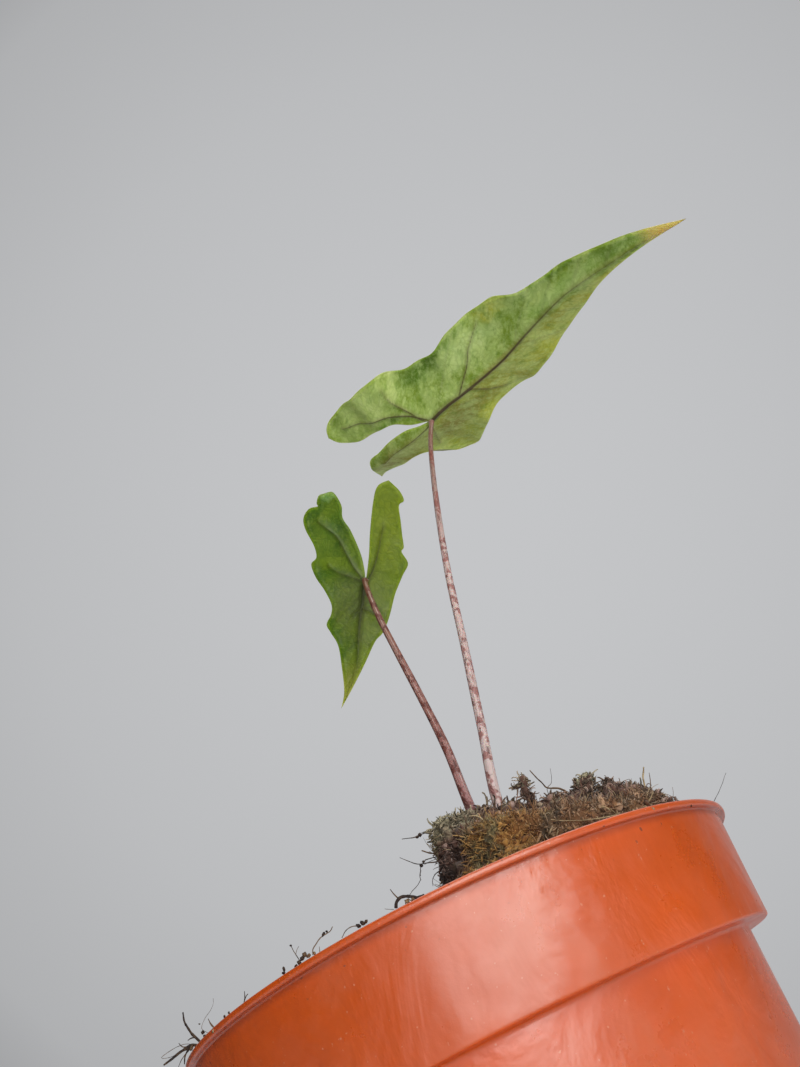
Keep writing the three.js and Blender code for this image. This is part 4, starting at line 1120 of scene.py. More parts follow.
def mix_fibres(random, count):
    """Roots, bends and tips of the fibres that arch over the mix, kept inside the pot's wall."""
    run = FIBRE_REACH * np.sqrt(random.uniform(0.0, 1.0, count))
    turn = random.uniform(0.0, 2.0 * np.pi, count)
    root_x, root_y = run * np.cos(turn), run * np.sin(turn)
    away = random.uniform(0.0, 2.0 * np.pi, count)
    reach = random.lognormal(1.3, 0.5, count)
    tip_x, tip_y = root_x + reach * np.cos(away), root_y + reach * np.sin(away)
    shrink = np.minimum(1.0, FIBRE_LIMIT / np.hypot(tip_x, tip_y))
    root = on_mix(root_x, root_y)
    tip = on_mix(tip_x * shrink, tip_y * shrink, random.uniform(-0.3, 1.2, count))
    bend = (root + tip) / 2.0 + random.normal(size=(count, 3)) * (0.18 * reach)[:, None]
    bend[:, 2] = np.maximum(root[:, 2], tip[:, 2]) + 0.3 * reach
    clear = from_plug(root_x, root_y) >= HIDDEN_RADIUS
    return root[clear], bend[clear], tip[clear]


def fibre_mesh(settings):
    """Fine dry fibres and old roots: bent tubes that leave the plug or the mix and come back to it or
    point away."""
    random = np.random.default_rng(13)
    on_plug = int(0.7 * settings.fibres)
    sets = zip(plug_fibres(random, on_plug), mix_fibres(random, settings.fibres - on_plug))
    roots, bends, tips = [np.vstack(pair) for pair in sets]
    thick = random.uniform(0.05, 0.15, len(roots))
    points, face_sets = bent_fibres(roots, bends, tips, thick, 0.45 * thick)
    shade = np.repeat(random.uniform(0.0, 1.0, len(roots)), len(points) // len(roots))
    return make_mesh("fine_fibres", points, face_sets, {"shade": shade})


# Roots, straws and hairs that the eye picks out: points of each route, radius at its root and at its tip,
# and how pale it is from 0 to 1
STRANDS = [
    ([(44.2, -24.5, 108), (43.9, -24, 112.3), (44.7, -24, 114.6), (46, -24, 116.9)], 0.26, 0.14, 0.95),
    ([(29.6, -25.6, 118.2), (28.2, -26, 119.8), (25.9, -27, 120.6), (25.3, -27.6, 121.8), (24.4, -28, 124.8)],
     0.22, 0.09, 0.45),
    ([(25.6, -27, 118), (26, -27, 120.4), (27.2, -27.2, 121), (28.5, -27, 123.8)], 0.07, 0.03, 0.2),
    ([(54.6, -20.4, 104.9), (56.2, -20.2, 106.4), (58.6, -20, 107.9), (61.3, -20, 109.9)], 0.06, 0.03, 0.1),
    ([(3, -29, 121.2), (1.1, -30, 121.6), (-0.9, -30, 121.9), (-2.6, -30, 122), (-4.4, -30, 122.6)],
     0.16, 0.06, 0.1),
    ([(1.2, -30, 115.9), (-0.1, -30.2, 116.1), (-3, -30.2, 117), (-4.8, -30.1, 118.2),
      (-6.1, -30, 119.6)], 0.13, 0.05, 0.15),
    ([(2.4, -29, 116.6), (0.4, -30, 116.9), (-1.6, -30.2, 117.2), (-2.9, -30.4, 116.5), (-3.4, -34, 114.6),
      (-3.6, -44, 111.2), (-3.8, -53, 108.4), (-5.6, -57.6, 106.4), (-6.4, -58.6, 105.2)], 0.1, 0.05, 0.1),
    ([(2.2, -30, 118.4), (0.6, -30.4, 117.6), (-0.6, -30.6, 118), (-1.8, -30.8, 118.9)], 0.2, 0.1, 0.3),
    ([(2, -31, 113.6), (0.4, -32, 113), (-0.4, -32.6, 111), (0.4, -33, 109.4)], 0.2, 0.12, 0.05),
    ([(-3.6, -58.6, 105.1), (-4.6, -58.6, 105.3), (-5.6, -58.7, 105.9), (-7, -58.7, 106.3),
      (-7.8, -58.7, 105.9), (-8.2, -58.7, 105.2)], 0.27, 0.24, 0.05),
    ([(-7.3, -58.6, 106.1), (-7.6, -58.5, 106.8), (-8.1, -58.5, 108.1)], 0.13, 0.06, 0.3),
    ([(-8.6, -58.6, 105.2), (-9, -58.6, 105.4), (-9.9, -58.6, 105.9)], 0.04, 0.03, 0.4),
    ([(-5.6, -58.7, 105.2), (-6.2, -58.8, 105.7), (-6.7, -58.7, 105.2)], 0.1, 0.08, 0.75),
    ([(-14.2, -57.5, 105.3), (-15.4, -57.3, 105.8), (-16.6, -57.1, 105.7), (-17.5, -56.9, 105.1)],
     0.09, 0.05, 0.4),
    ([(-22.6, -55, 105.1), (-22.3, -55.2, 105.8), (-21.7, -55.2, 106.3), (-20.8, -55.2, 106.9),
      (-19.7, -55.2, 107.1), (-19, -55.2, 107.2), (-18.5, -55.2, 107.6)], 0.09, 0.07, 0.55),
    ([(-24.9, -53.8, 105.1), (-25.2, -53.7, 106.1), (-25.5, -53.7, 107), (-25.7, -53.7, 108)],
     0.08, 0.05, 0.1),
    ([(-25.3, -53.7, 106.6), (-25, -53.7, 107), (-24.5, -53.7, 107.4)], 0.05, 0.03, 0.3),
    ([(-21.5, -55.1, 105), (-21.3, -55.2, 105.8)], 0.06, 0.04, 0.3),
    ([(-48.2, -33.6, 104.9), (-49.3, -34, 106.3), (-50, -34, 107.8), (-50.4, -34, 109.2),
      (-50.4, -34, 110.6)], 0.26, 0.13, 0.1),
    ([(-49, -33.9, 106), (-50, -34, 106.2), (-50.5, -34, 106.1)], 0.12, 0.06, 0.1),
    ([(-49.6, -31.6, 105.2), (-50.6, -31.9, 105.6), (-51.7, -31.9, 105.5), (-53.3, -31.9, 105.3),
      (-55.9, -31.9, 104.8)], 0.3, 0.14, 0.1),
    ([(-51.4, -31.4, 105.5), (-52.3, -31, 104.8), (-52.7, -31, 103.6)], 0.2, 0.1, 0.1),
    ([(-51.6, -31.2, 105.3), (-53.1, -31, 104.4), (-53.9, -31, 103.6)], 0.09, 0.05, 0.2),
    ([(-51.2, -31.8, 105.5), (-52.3, -31.9, 106), (-52.7, -31.9, 106.9)], 0.12, 0.06, 0.3),
    ([(-50, -32.2, 105.4), (-52, -32.3, 106.2), (-54.3, -32.3, 106.3), (-55.9, -32.3, 105.9),
      (-54.9, -32.2, 105.5), (-53.2, -32.1, 105.3)], 0.05, 0.04, 0.3),
    ([(-45.6, -37.8, 105), (-46.8, -37, 106.4), (-46.1, -36.6, 107.6), (-44.8, -36.5, 108.4),
      (-44.2, -36.5, 109.1), (-44.1, -36.5, 109.9)], 0.04, 0.03, 0.35),
    ([(-43.9, -39.7, 104.9), (-44.3, -39.7, 105.8), (-44.6, -39.7, 106.6)], 0.17, 0.05, 0.35),
    ([(-36.6, -46.7, 104.9), (-36.2, -46.7, 105.7), (-36, -46.7, 106.5)], 0.13, 0.05, 0.35),
    ([(-36.3, -46.7, 105.4), (-35.9, -46.7, 105.8), (-35.5, -46.7, 106)], 0.09, 0.05, 0.35),
    ([(33.8, -47.6, 105.1), (25, -46.4, 107.9), (19.8, -45.2, 111.2), (18.6, -43.6, 114)],
     0.1, 0.06, 0.95),
]

# Knots and bits of dirt on the strands and on the rim: middle, radii, and how pale each is
BITS = np.array([
    (-0.9, -30, 121.9, 0.55, 0.4, 0.4, 0), (-1.6, -30.2, 121.7, 0.4, 0.3, 0.35, 0),
    (-2.9, -30.4, 116.5, 0.4, 0.3, 0.3, 0), (-2.2, -30.3, 117, 0.3, 0.3, 0.3, 0.1),
    (-6.3, -58.7, 105.4, 0.45, 0.35, 0.35, 0.75), (-5.4, -58.7, 105.3, 0.35, 0.3, 0.3, 0.55),
    (-14.5, -57.5, 105.5, 0.5, 0.35, 0.3, 0), (-13.8, -57.5, 105.6, 0.5, 0.35, 0.35, 0.05),
    (-13.2, -57.5, 105.6, 0.35, 0.3, 0.25, 0.15), (-20.2, -55.2, 107.15, 0.45, 0.22, 0.3, 0),
    (-19.6, -55.2, 107.3, 0.3, 0.2, 0.2, 0.05), (-25.7, -53.7, 108.1, 0.2, 0.18, 0.2, 0),
    (-24, -54, 105.9, 0.5, 0.4, 0.4, 0.35), (-24.5, -53.9, 105.6, 0.5, 0.4, 0.35, 0.2),
    (-25.2, -53.6, 105.4, 0.45, 0.4, 0.3, 0.1), (-23.4, -54.3, 105.5, 0.4, 0.35, 0.3, 0.5),
    (-25.9, -53.2, 105.2, 0.35, 0.3, 0.25, 0.15), (-28, -52.1, 105.8, 0.2, 0.2, 0.45, 0),
    (-28.2, -52, 105.3, 0.35, 0.3, 0.3, 0.05), (-22.4, -54.8, 105.3, 0.35, 0.3, 0.25, 0.6),
    (-51.3, -31.8, 105.4, 0.55, 0.4, 0.35, 0.1), (-50.7, -32.2, 105.3, 0.5, 0.4, 0.3, 0.35),
    (-46.9, -36.5, 105.8, 0.3, 0.3, 0.35, 0), (-46.7, -36.6, 105.2, 0.25, 0.25, 0.2, 0.1),
    (-47.2, -36.5, 107.2, 0.14, 0.14, 0.2, 0.1), (-40.9, -43.3, 105.2, 0.25, 0.2, 0.2, 0.3),
    (-39.8, -44.3, 105.2, 0.25, 0.2, 0.2, 0.3), (-43.9, -41, 104.4, 0.3, 0.3, 0.12, 0.9),
    (36.2, -46.4, 105.2, 0.5, 0.35, 0.3, 0.9), (39.4, -43.6, 105.1, 0.4, 0.3, 0.25, 0.7),
    (33.5, -48.6, 105.1, 0.35, 0.25, 0.2, 0.8), (28.6, -51.4, 105.1, 0.3, 0.25, 0.2, 0.6),
    (41, -43.2, 104.6, 0.35, 0.35, 0.25, 0.05), (45.6, -38.3, 104.2, 0.5, 0.45, 0.25, 0),
    (46.4, -37.3, 104.1, 0.35, 0.35, 0.2, 0), (36.9, -47.1, 104.4, 0.3, 0.3, 0.3, 0.9),
])


def strand_mesh():
    """Named strands and bits: a round section of tapering radius carried along each route, its edge uneven
    by noise, and small uneven grains for knots and dirt."""
    steps, sides = 26, 6
    turn = full_turn(sides)
    points, face_sets, pales = [], [], []
    total = 0
    for route, thick, thin, pale in STRANDS:
        path = along_path(route, steps)
        path = path + 0.12 * np.stack([noise(path, 1.6, seed) for seed in (61, 62, 63)], axis=-1)
        uneven = noise(np.repeat(path, sides, axis=0) * 3.0, 1.1, 64).reshape(steps, sides)
        radius = np.linspace(thick, thin, steps)[:, None] * (1.0 + 0.25 * uneven)
        made, faces = closed_rings(tube_rings(path, radius, turn, (0.31, 0.9, 0.3)), path[0], path[-1])
        points.append(made)
        face_sets += [part + total for part in faces]
        pales.append(np.full(len(made), pale))
        total += len(made)
    grain = twenty_sided()
    made, faces = scatter(np.random.default_rng(17), grain, BITS[:, :3], BITS[:, 3:6], 0.3)
    joined = np.vstack([*points, made])
    pale = np.concatenate([*pales, np.repeat(BITS[:, 6], len(grain[0]))])
    shade = np.clip(0.85 * pale + 0.12 * noise(joined, 1.2, 65), 0.0, 1.0)
    return make_mesh("strands", joined, [*face_sets, faces + total], {"shade": shade})


def soil_finish(name, settings, relief_size):
    """Crumbly soil and moss. Brown tones go from dark to light by each grain's own shade, and golden, pale
    and dark areas are laid over them by the mesh's values, with fine mottling and relief. The dark areas are
    painted shade under the plug's cap and in hollows between crumbs, and the mix made darker below the heap."""
    finish = Finish(name, Roughness=0.92, Specular_IOR_Level=0.25, Sheen_Weight=0.12, Sheen_Roughness=0.6)
    place = finish.place()
    fine = finish.grain(place, 1400.0, 4.0, 0.6)
    shade = finish.maths("ADD", finish.maths("MULTIPLY", finish.field("shade"), 0.7),
                         finish.maths("MULTIPLY", fine, 0.3))
    mix_colour, gold_colour = tuple(settings.mix_colour), tuple(settings.gold_colour)
    lichen = tuple(settings.lichen_colour)
    reddish = finish.grain(place, 300.0, 2.0)
    brown = finish.layer(deeper(mix_colour, 0.2), mix_colour, shade, 0.15, 0.62, kind="LINEAR")
    brown = finish.layer(brown, paint(210, 182, 170), shade, 0.55, 0.9, kind="LINEAR")
    brown = finish.layer(brown, paint(140, 96, 78), reddish, 0.5, 0.68, 0.45)
    patch = finish.grain(place, 210.0, 3.0)
    gold_light = finish.layer(gold_colour, paint(176, 160, 112), patch, 0.44, 0.62)
    gold_dark = finish.layer(paint(122, 74, 36), paint(84, 76, 56), patch, 0.4, 0.6)
    gold = finish.layer(gold_dark, gold_light, shade, 0.2, 0.72, kind="LINEAR")
    pale = finish.layer(deeper(lichen, 0.12), deeper(lichen, 1.15), shade, 0.08, 0.66, kind="LINEAR")
    pale = finish.layer(pale, paint(128, 118, 74), finish.grain(place, 240.0, 2.0), 0.5, 0.7, 0.5)
    colour = finish.mix(finish.field("pale"), brown, pale)
    colour = finish.mix(finish.field("gold"), colour, gold)
    # Dark brown laid over by the dark value: painted shade on the moss and crumbs, and the mix darker below
    # the heap
    darkness = finish.maths("MULTIPLY", finish.field("dark"), 0.75)
    colour = finish.mix(darkness, colour, paint(44, 34, 30))
    return finish.done(colour, None, finish.bump(finish.grain(place, relief_size, 5.0, 0.65), 0.0004, 0.9))


def fibre_finish():
    """Dry fibres: from dark root brown to pale straw by each fibre's shade, with streaky mottling."""
    finish = Finish("dry_fibres", Roughness=0.7, Specular_IOR_Level=0.35)
    mottle = finish.grain(finish.place(), 700.0, 3.0)
    shade = finish.maths("ADD", finish.field("shade"), finish.span(mottle, 0.3, 0.7, -0.15, 0.15))
    colour = finish.layer(paint(44, 32, 28), paint(118, 92, 66), shade, 0.0, 0.5)
    colour = finish.layer(colour, paint(206, 184, 142), shade, 0.5, 1.0)
    return finish.done(colour, None, finish.bump(mottle, 0.0001, 0.6))


class ALOCASIA_OT_soil(bpy.types.Operator):
    """Add the potting mix, the mossy plug, and their crumbs, moss and fibres"""

    bl_idname = "alocasia.add_soil"
    bl_label = "Add Soil and Moss"

    def execute(self, context):
        """Builds each layer of the soil."""
        settings = context.scene.alocasia_soil
        mix = soil_finish("potting_mix", settings, 900.0)
        moss = soil_finish("old_moss", settings, 1300.0)
        fibres = fibre_finish()
        add_piece("mix_body", mix_mesh(), mix, "potting_mix", "potting_mix")
        add_piece("plug_body", plug_mesh(), moss, "mossy_plug", "root_plug")
        add_piece("moss_flakes", moss_mesh(settings), moss, "mossy_plug")
        add_piece("moss_threads", thread_mesh(settings), moss, "mossy_plug")
        add_piece("soil_crumbs", crumb_mesh(settings), mix, "potting_mix")
        add_piece("fine_fibres", fibre_mesh(settings), fibres, "mossy_plug")
        add_piece("strands", strand_mesh(), fibres, "mossy_plug")
        return {"FINISHED"}


def corm_finish():
    """Corm and roots: papery brown with ring marks and pale root streaks."""
    finish = Finish("papery_corm", Roughness=0.75)
    place = finish.place()
    rings = finish.grain(finish.stretched(place, (60.0, 60.0, 900.0)), 1.0, 3.0)
    mottle = finish.grain(place, 400.0, 4.0)
    colour = finish.layer(paint(112, 84, 60), paint(152, 122, 92), rings, 0.4, 0.6)
    colour = finish.layer(colour, paint(88, 62, 46), mottle, 0.5, 0.7, 0.6)
    return finish.done(colour, finish.span(mottle, 0.3, 0.7, 0.62, 0.85), finish.bump(rings, 0.0002, 0.7))


class ALOCASIA_OT_corm(bpy.types.Operator):
    """Finish the corm and its roots, which keep their CAD shape inside the plug"""

    bl_idname = "alocasia.finish_corm"
    bl_label = "Finish Corm"

    def execute(self, context):
        """Gives the CAD node its material."""
        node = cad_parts["corm_and_roots"]
        node.data.materials.clear()
        node.data.materials.append(corm_finish())
        return {"FINISHED"}


def stalk_mesh(name, route, seed):
    """Leaf stalk: a round section carried along the route, its radius falling from foot to tip as the
    part's does, with fine lengthwise ridges, slight swellings, a wider foot and a flare into the blade.
    Each point keeps its place round and along the stalk, in mm, for the markings."""
    steps, sides = 300, 28
    path = along_path(route, steps)
    along = np.linspace(0.0, 1.0, steps)[:, None]
    turn = full_turn(sides)[None]
    radius = STALK_FOOT_RADIUS + (STALK_TIP_RADIUS - STALK_FOOT_RADIUS) * along ** 0.9
    ridges = 0.022 * np.sin(9.0 * turn + 1.5 * np.sin(6.0 * along + seed))
    swelling = 0.03 * np.sin(23.0 * along + seed) * np.sin(11.0 * along + 2.0 * seed)
    flare = 0.35 * smooth(along, 0.985, 1.0) + 0.2 * (1.0 - smooth(along, 0.0, 0.16))
    radius = radius * (1.0 + ridges + swelling + flare)
    rings = tube_rings(path, radius, turn, (0.12, 1.0, 0.05))
    points, face_sets = closed_rings(rings, path[0], path[-1])
    length = float(np.linalg.norm(np.diff(path, axis=0), axis=1).sum())
    lay = np.vstack([around(1.0, turn, length * along).reshape(-1, 3), [0.0, 0.0, 0.0], [0.0, 0.0, length]])
    return make_mesh(name, points, face_sets, {"lay": lay, "along": lay[:, 2] / length})


def stalk_finish(name, low, middle, high, bar, bar_share):
    """Leaf stalk skin: one tone from foot to tip, fine pale and rose streaks lengthwise, broken darker bars
    across it that come every few millimetres, and small dark specks."""
    finish = Finish(name, Roughness=0.42, Subsurface_Weight=0.12, Subsurface_Scale=0.0015)
    lay = finish.field("lay", vector=True)
    along = finish.field("along")
    streak = finish.grain(finish.stretched(lay, (3.4, 3.4, 0.03)), 1.0, 4.0, 0.6)
    bars = finish.grain(finish.stretched(lay, (0.34, 0.34, 0.36)), 1.0, 2.0, 0.55, 1.1)
    knots = finish.grain(finish.stretched(lay, (0.9, 0.9, 0.5), (3.0, 1.0, 7.0)), 1.0, 3.0, 0.65, 1.0)
    speck = finish.grain(finish.stretched(lay, (2.6, 2.6, 1.6)), 1.0, 2.0, 0.5)
    base = low
    for colour, value, begin, end, strength in (
            (middle, along, 0.15, 0.55, 1.0), (high, along, 0.55, 0.97, 1.0),
            (paint(234, 218, 210), streak, 0.53, 0.66, 0.55), (bar, streak, 0.48, 0.34, 0.6),
            (bar, bars, 0.5, 0.57, bar_share), (deeper(bar, 0.5), knots, 0.57, 0.63, bar_share),
            (deeper(bar, 0.4), speck, 0.64, 0.70, 0.8)):
        base = finish.layer(base, colour, value, begin, end, strength)
    return finish.done(base, finish.span(streak, 0.3, 0.7, 0.36, 0.5), finish.bump(streak, 0.00015, 0.5))


class ALOCASIA_OT_stalks(bpy.types.Operator):
    """Add both leaf stalks"""

    bl_idname = "alocasia.add_stalks"
    bl_label = "Add Leaf Stalks"

    def execute(self, context):
        """Builds the pale large stalk and the darker small one."""
        pale = stalk_finish("stalk_pale", paint(222, 200, 196), paint(222, 196, 190),
                            paint(150, 112, 98), paint(158, 92, 86), 0.75)
        rose = stalk_finish("stalk_rose", paint(166, 116, 116), paint(166, 118, 108),
                            paint(138, 96, 70), paint(116, 62, 54), 0.8)
        for node, route, seed, slot, finish in (
                ("stalk_large", LARGE_ROUTE, 1.0, "stalk_pale", pale),
                ("stalk_small", SMALL_ROUTE, 2.3, "stalk_rose", rose)):
            name = node + "_skin"
            add_piece(name, stalk_mesh(name, route, seed), finish, slot, node)
        return {"FINISHED"}


def leaf_axes(leaf):
    """Directions along the midrib, across it and up from the upper side, from heading, dip and roll."""
    heading, dip, roll = np.radians([leaf["heading"], leaf["dip"], leaf["roll"]])
    along = np.array([np.cos(heading) * np.cos(dip), np.sin(heading) * np.cos(dip), -np.sin(dip)])
    level = np.array([-np.sin(heading), np.cos(heading), 0.0])
    upright = np.cross(along, level)
    across = level * np.cos(roll) + upright * np.sin(roll)
    return along, across, np.cross(along, across)


def leaf_place(leaf, s, w):
    """Upper side of the blade at (s, w), as in the part: the stalk's point, plus s along, w cos(fold)
    across, and upwards the folded halves' rise from the midrib, the arch along the leaf and the margin's
    waves. The crease is rounded and follows the midrib, and a small flutter is added near the margin."""
    along, across, up = leaf_axes(leaf)
    length, wave = leaf["length"], leaf["wave"]
    slope = 4.0 * leaf["arch"] / length
    arch = np.where(s >= 0.0, slope * s * (1.0 - s / length), slope * s + leaf["lobe_curl"] * s * s)
    lift = np.where(w > 0.0, leaf["right_lift"], 0.0) * (1.0 - smooth(s, -12.0, 6.0))
    fold = np.radians(leaf["fold"] + lift)
    midrib = np.array(leaf["midrib"], float)
    off_crease = w - np.interp(s, midrib[:, 0], midrib[:, 1]) * smooth(s, 0.0, 4.0)
    crease = np.sqrt(off_crease ** 2 + 0.5) - np.sqrt(0.5)
    growth = np.minimum(1.0, np.abs(w) / wave["reach"]) ** 2
    calm = np.clip((length - s) / 20.0, 0.0, 1.0)
    phase = np.where(w < 0.0, wave["left"], wave["right"])
    angle = 2.0 * np.pi * s / wave["length"]
    waves = wave["height"] * growth * calm * (np.sin(angle + phase)
                                              + 0.22 * np.sin(angle / 0.37 + 2.0 * phase))
    rise = crease * np.sin(fold) + arch + waves
    return (np.array(leaf["stalk"], float) + s[..., None] * along
            + (w * np.cos(fold))[..., None] * across + rise[..., None] * up)


def blade_half(leaf, side, lobe_rows, blade_rows, columns):
    """Places (s, w) of one half on a grid. Rows run from the lobe's end to the tip and columns from the
    sinus edge or midrib straight out to the margin. Shares of the two outlines are as in the part."""
    back = np.linspace(0.0, 1.0, lobe_rows + 1)
    ahead = np.linspace(0.0, 1.0, blade_rows + 1)[1:]
    split = leaf["margin_split"]
    outer = along_outline(leaf[side]["margin"], np.concatenate([split * back, split + (1.0 - split) * ahead]))
    tip = outer[-1]
    middle = np.stack([tip[0] * ahead, tip[1] * ahead ** 4], axis=-1)
    inner = np.vstack([along_outline(leaf[side]["sinus"], back), middle])
    share = np.linspace(0.0, 1.0, columns)[None, :, None]
    return inner[:, None] + (outer - inner)[:, None] * share


def line_distance(places, lines, thinning):
    """Least distance in mm from each place to a set of curves, taken as short straight pieces. The
    distance grows by the thinning towards a curve's end, so that a drawn line gets finer there."""
    nearest = np.full(len(places), 99.0)
    for line in lines:
        dense = along_outline(line, np.linspace(0.0, 1.0, 26))
        start, step = dense[:-1], np.diff(dense, axis=0)
        offset = places[:, None] - start[None]
        share = np.clip((offset * step).sum(-1) / (step ** 2).sum(-1), 0.0, 1.0)
        gap = np.linalg.norm(offset - share[..., None] * step, axis=-1)
        piece = gap.argmin(axis=1)
        rows = np.arange(len(places))
        run = (piece + share[rows, piece]) / len(step)
        nearest = np.minimum(nearest, gap[rows, piece] + thinning * run)
    return nearest


def faint_veins(leaf):
    """Faint side veins: curves that leave the midrib at the given places on both sides and bend forwards
    to the margin, w growing evenly while s runs ahead by the slant."""
    given = leaf["side_veins"]
    midrib = np.array(leaf["midrib"], float)
    curves = []
    share = np.linspace(0.0, 1.0, 7)
    for start in given["starts"]:
        reach = given["reach"] * (1.0 - 0.75 * start / leaf["length"])
        for side in (-1.0, 1.0):
            s = start + 1.5 * (side > 0) + given["slant"] * reach * share ** 1.15
            w = np.interp(start, midrib[:, 0], midrib[:, 1]) + side * reach * share
            curves.append(np.stack([s, w], axis=-1))
    return curves


def blade_lines(leaf, side, flat, shape):
    """Distances of a half's places from the midrib, the strong ribs, the faint veins and the margin."""
    margin = along_outline(leaf[side]["margin"], np.linspace(0.0, 1.0, 160))
    sinus = along_outline(leaf[side]["sinus"], np.linspace(0.0, 0.96, 60))
    midrib = line_distance(flat, [leaf["midrib"]], 0.25)
    ribs = line_distance(flat, leaf["ribs"], 0.16)
    faint = line_distance(flat, faint_veins(leaf), 0.1)
    edge = np.minimum(line_distance(flat, [margin], 0.0), line_distance(flat, [sinus], 0.0))
    return [distance.reshape(shape) for distance in (midrib, ribs, faint, edge)]


def blade_mesh(name, leaf, settings, lobe_rows, blade_rows, columns):
    """Leaf blade as one closed sheet. Both sides share the grid of places. The upper side dips a little
    over the veins, the blade between them bulges upwards, and the underside lies a thickness lower, with
    the veins standing out as rounded ridges that sink to nothing at the margin. Each point keeps its place
    (s, w), its distances from strong and faint veins and from the margin, and which side it is on."""
    up = leaf_axes(leaf)[2]
    thickness, vein_height = settings.blade_thickness / MM, settings.vein_height / MM
    points, face_sets, fields = [], [], {"lay": [], "vein": [], "faint": [], "edge": [], "under": []}
    total = 0
    for side, sign in (("left", -1.0), ("right", 1.0)):
        grid = blade_half(leaf, side, lobe_rows, blade_rows, columns)
        rows, count = len(grid), grid.shape[0] * columns
        s, w = grid[..., 0], grid[..., 1]
        flat = grid.reshape(-1, 2)
        midrib, ribs, faint, edge = blade_lines(leaf, side, flat, s.shape)
        calm = smooth(edge, 0.0, 1.6)
        taper = np.clip(1.0 - s / leaf["length"], 0.0, 1.0)
        vein = np.minimum(midrib, ribs)
        puff = 0.22 * smooth(np.minimum(vein, faint), 0.2, 2.4) * calm
        dip = -0.12 * np.exp(-(vein / 0.6) ** 2) * calm
        top = leaf_place(leaf, s, w) + (puff + dip)[..., None] * up
        main_rib = 0.62 * taper * np.exp(-(midrib / (0.35 + 0.6 * taper)) ** 2)
        side_rib = vein_height * np.exp(-(ribs / 0.42) ** 2) + 0.06 * np.exp(-(faint / 0.35) ** 2)
        depth = thickness * (0.4 + 0.6 * smooth(edge, 0.0, 0.9))
        depth = depth + (main_rib + side_rib) * (0.15 + 0.85 * calm)
        under = top - depth[..., None] * up
        points += [top.reshape(-1, 3), under.reshape(-1, 3)]
        strips = [grid_faces(rows, columns, False)]
        strips.append(count + strips[0][:, ::-1])
        for row, column in ((np.arange(rows - 1) + 1, columns - 1), (np.arange(lobe_rows), 0)):
            near = row * columns + column
            far = near + (columns if column == 0 else -columns)
            strips.append(np.stack([near, far, far + count, near + count], axis=-1))
        face_sets += [total + (strip[:, ::-1] if side == "right" else strip) for strip in strips]
        for under_side in (0.0, 1.0):
            fields["lay"].append(np.column_stack([flat, np.full(count, sign)]))
            fields["vein"].append(np.minimum(midrib - 0.35 * taper, ribs).ravel())
            fields["faint"].append(faint.ravel())
            fields["edge"].append(edge.ravel())
            fields["under"].append(np.full(count, under_side))
        total += 2 * count
    joined = {field: np.concatenate(values) for field, values in fields.items()}
    return make_mesh(name, np.vstack(points), face_sets, joined, weld=0.004)


def soft_patch(finish, base, place, patch):
    """Uneven oval patch laid over a base. The distance from its middle, with s and w each divided by the
    patch's own reach, takes it from its full strength inside to nothing at its edge."""
    s, w, reach_s, reach_w, colour, strength = patch
    scale = (1.0 / reach_s, 1.0 / reach_w, 0.0)
    local = finish.stretched(place, scale, (-s / reach_s, -w / reach_w, 0.0))
    distance = finish.vectors("LENGTH", local)["Value"]
    return finish.layer(base, colour, distance, 1.0, 0.25, strength)


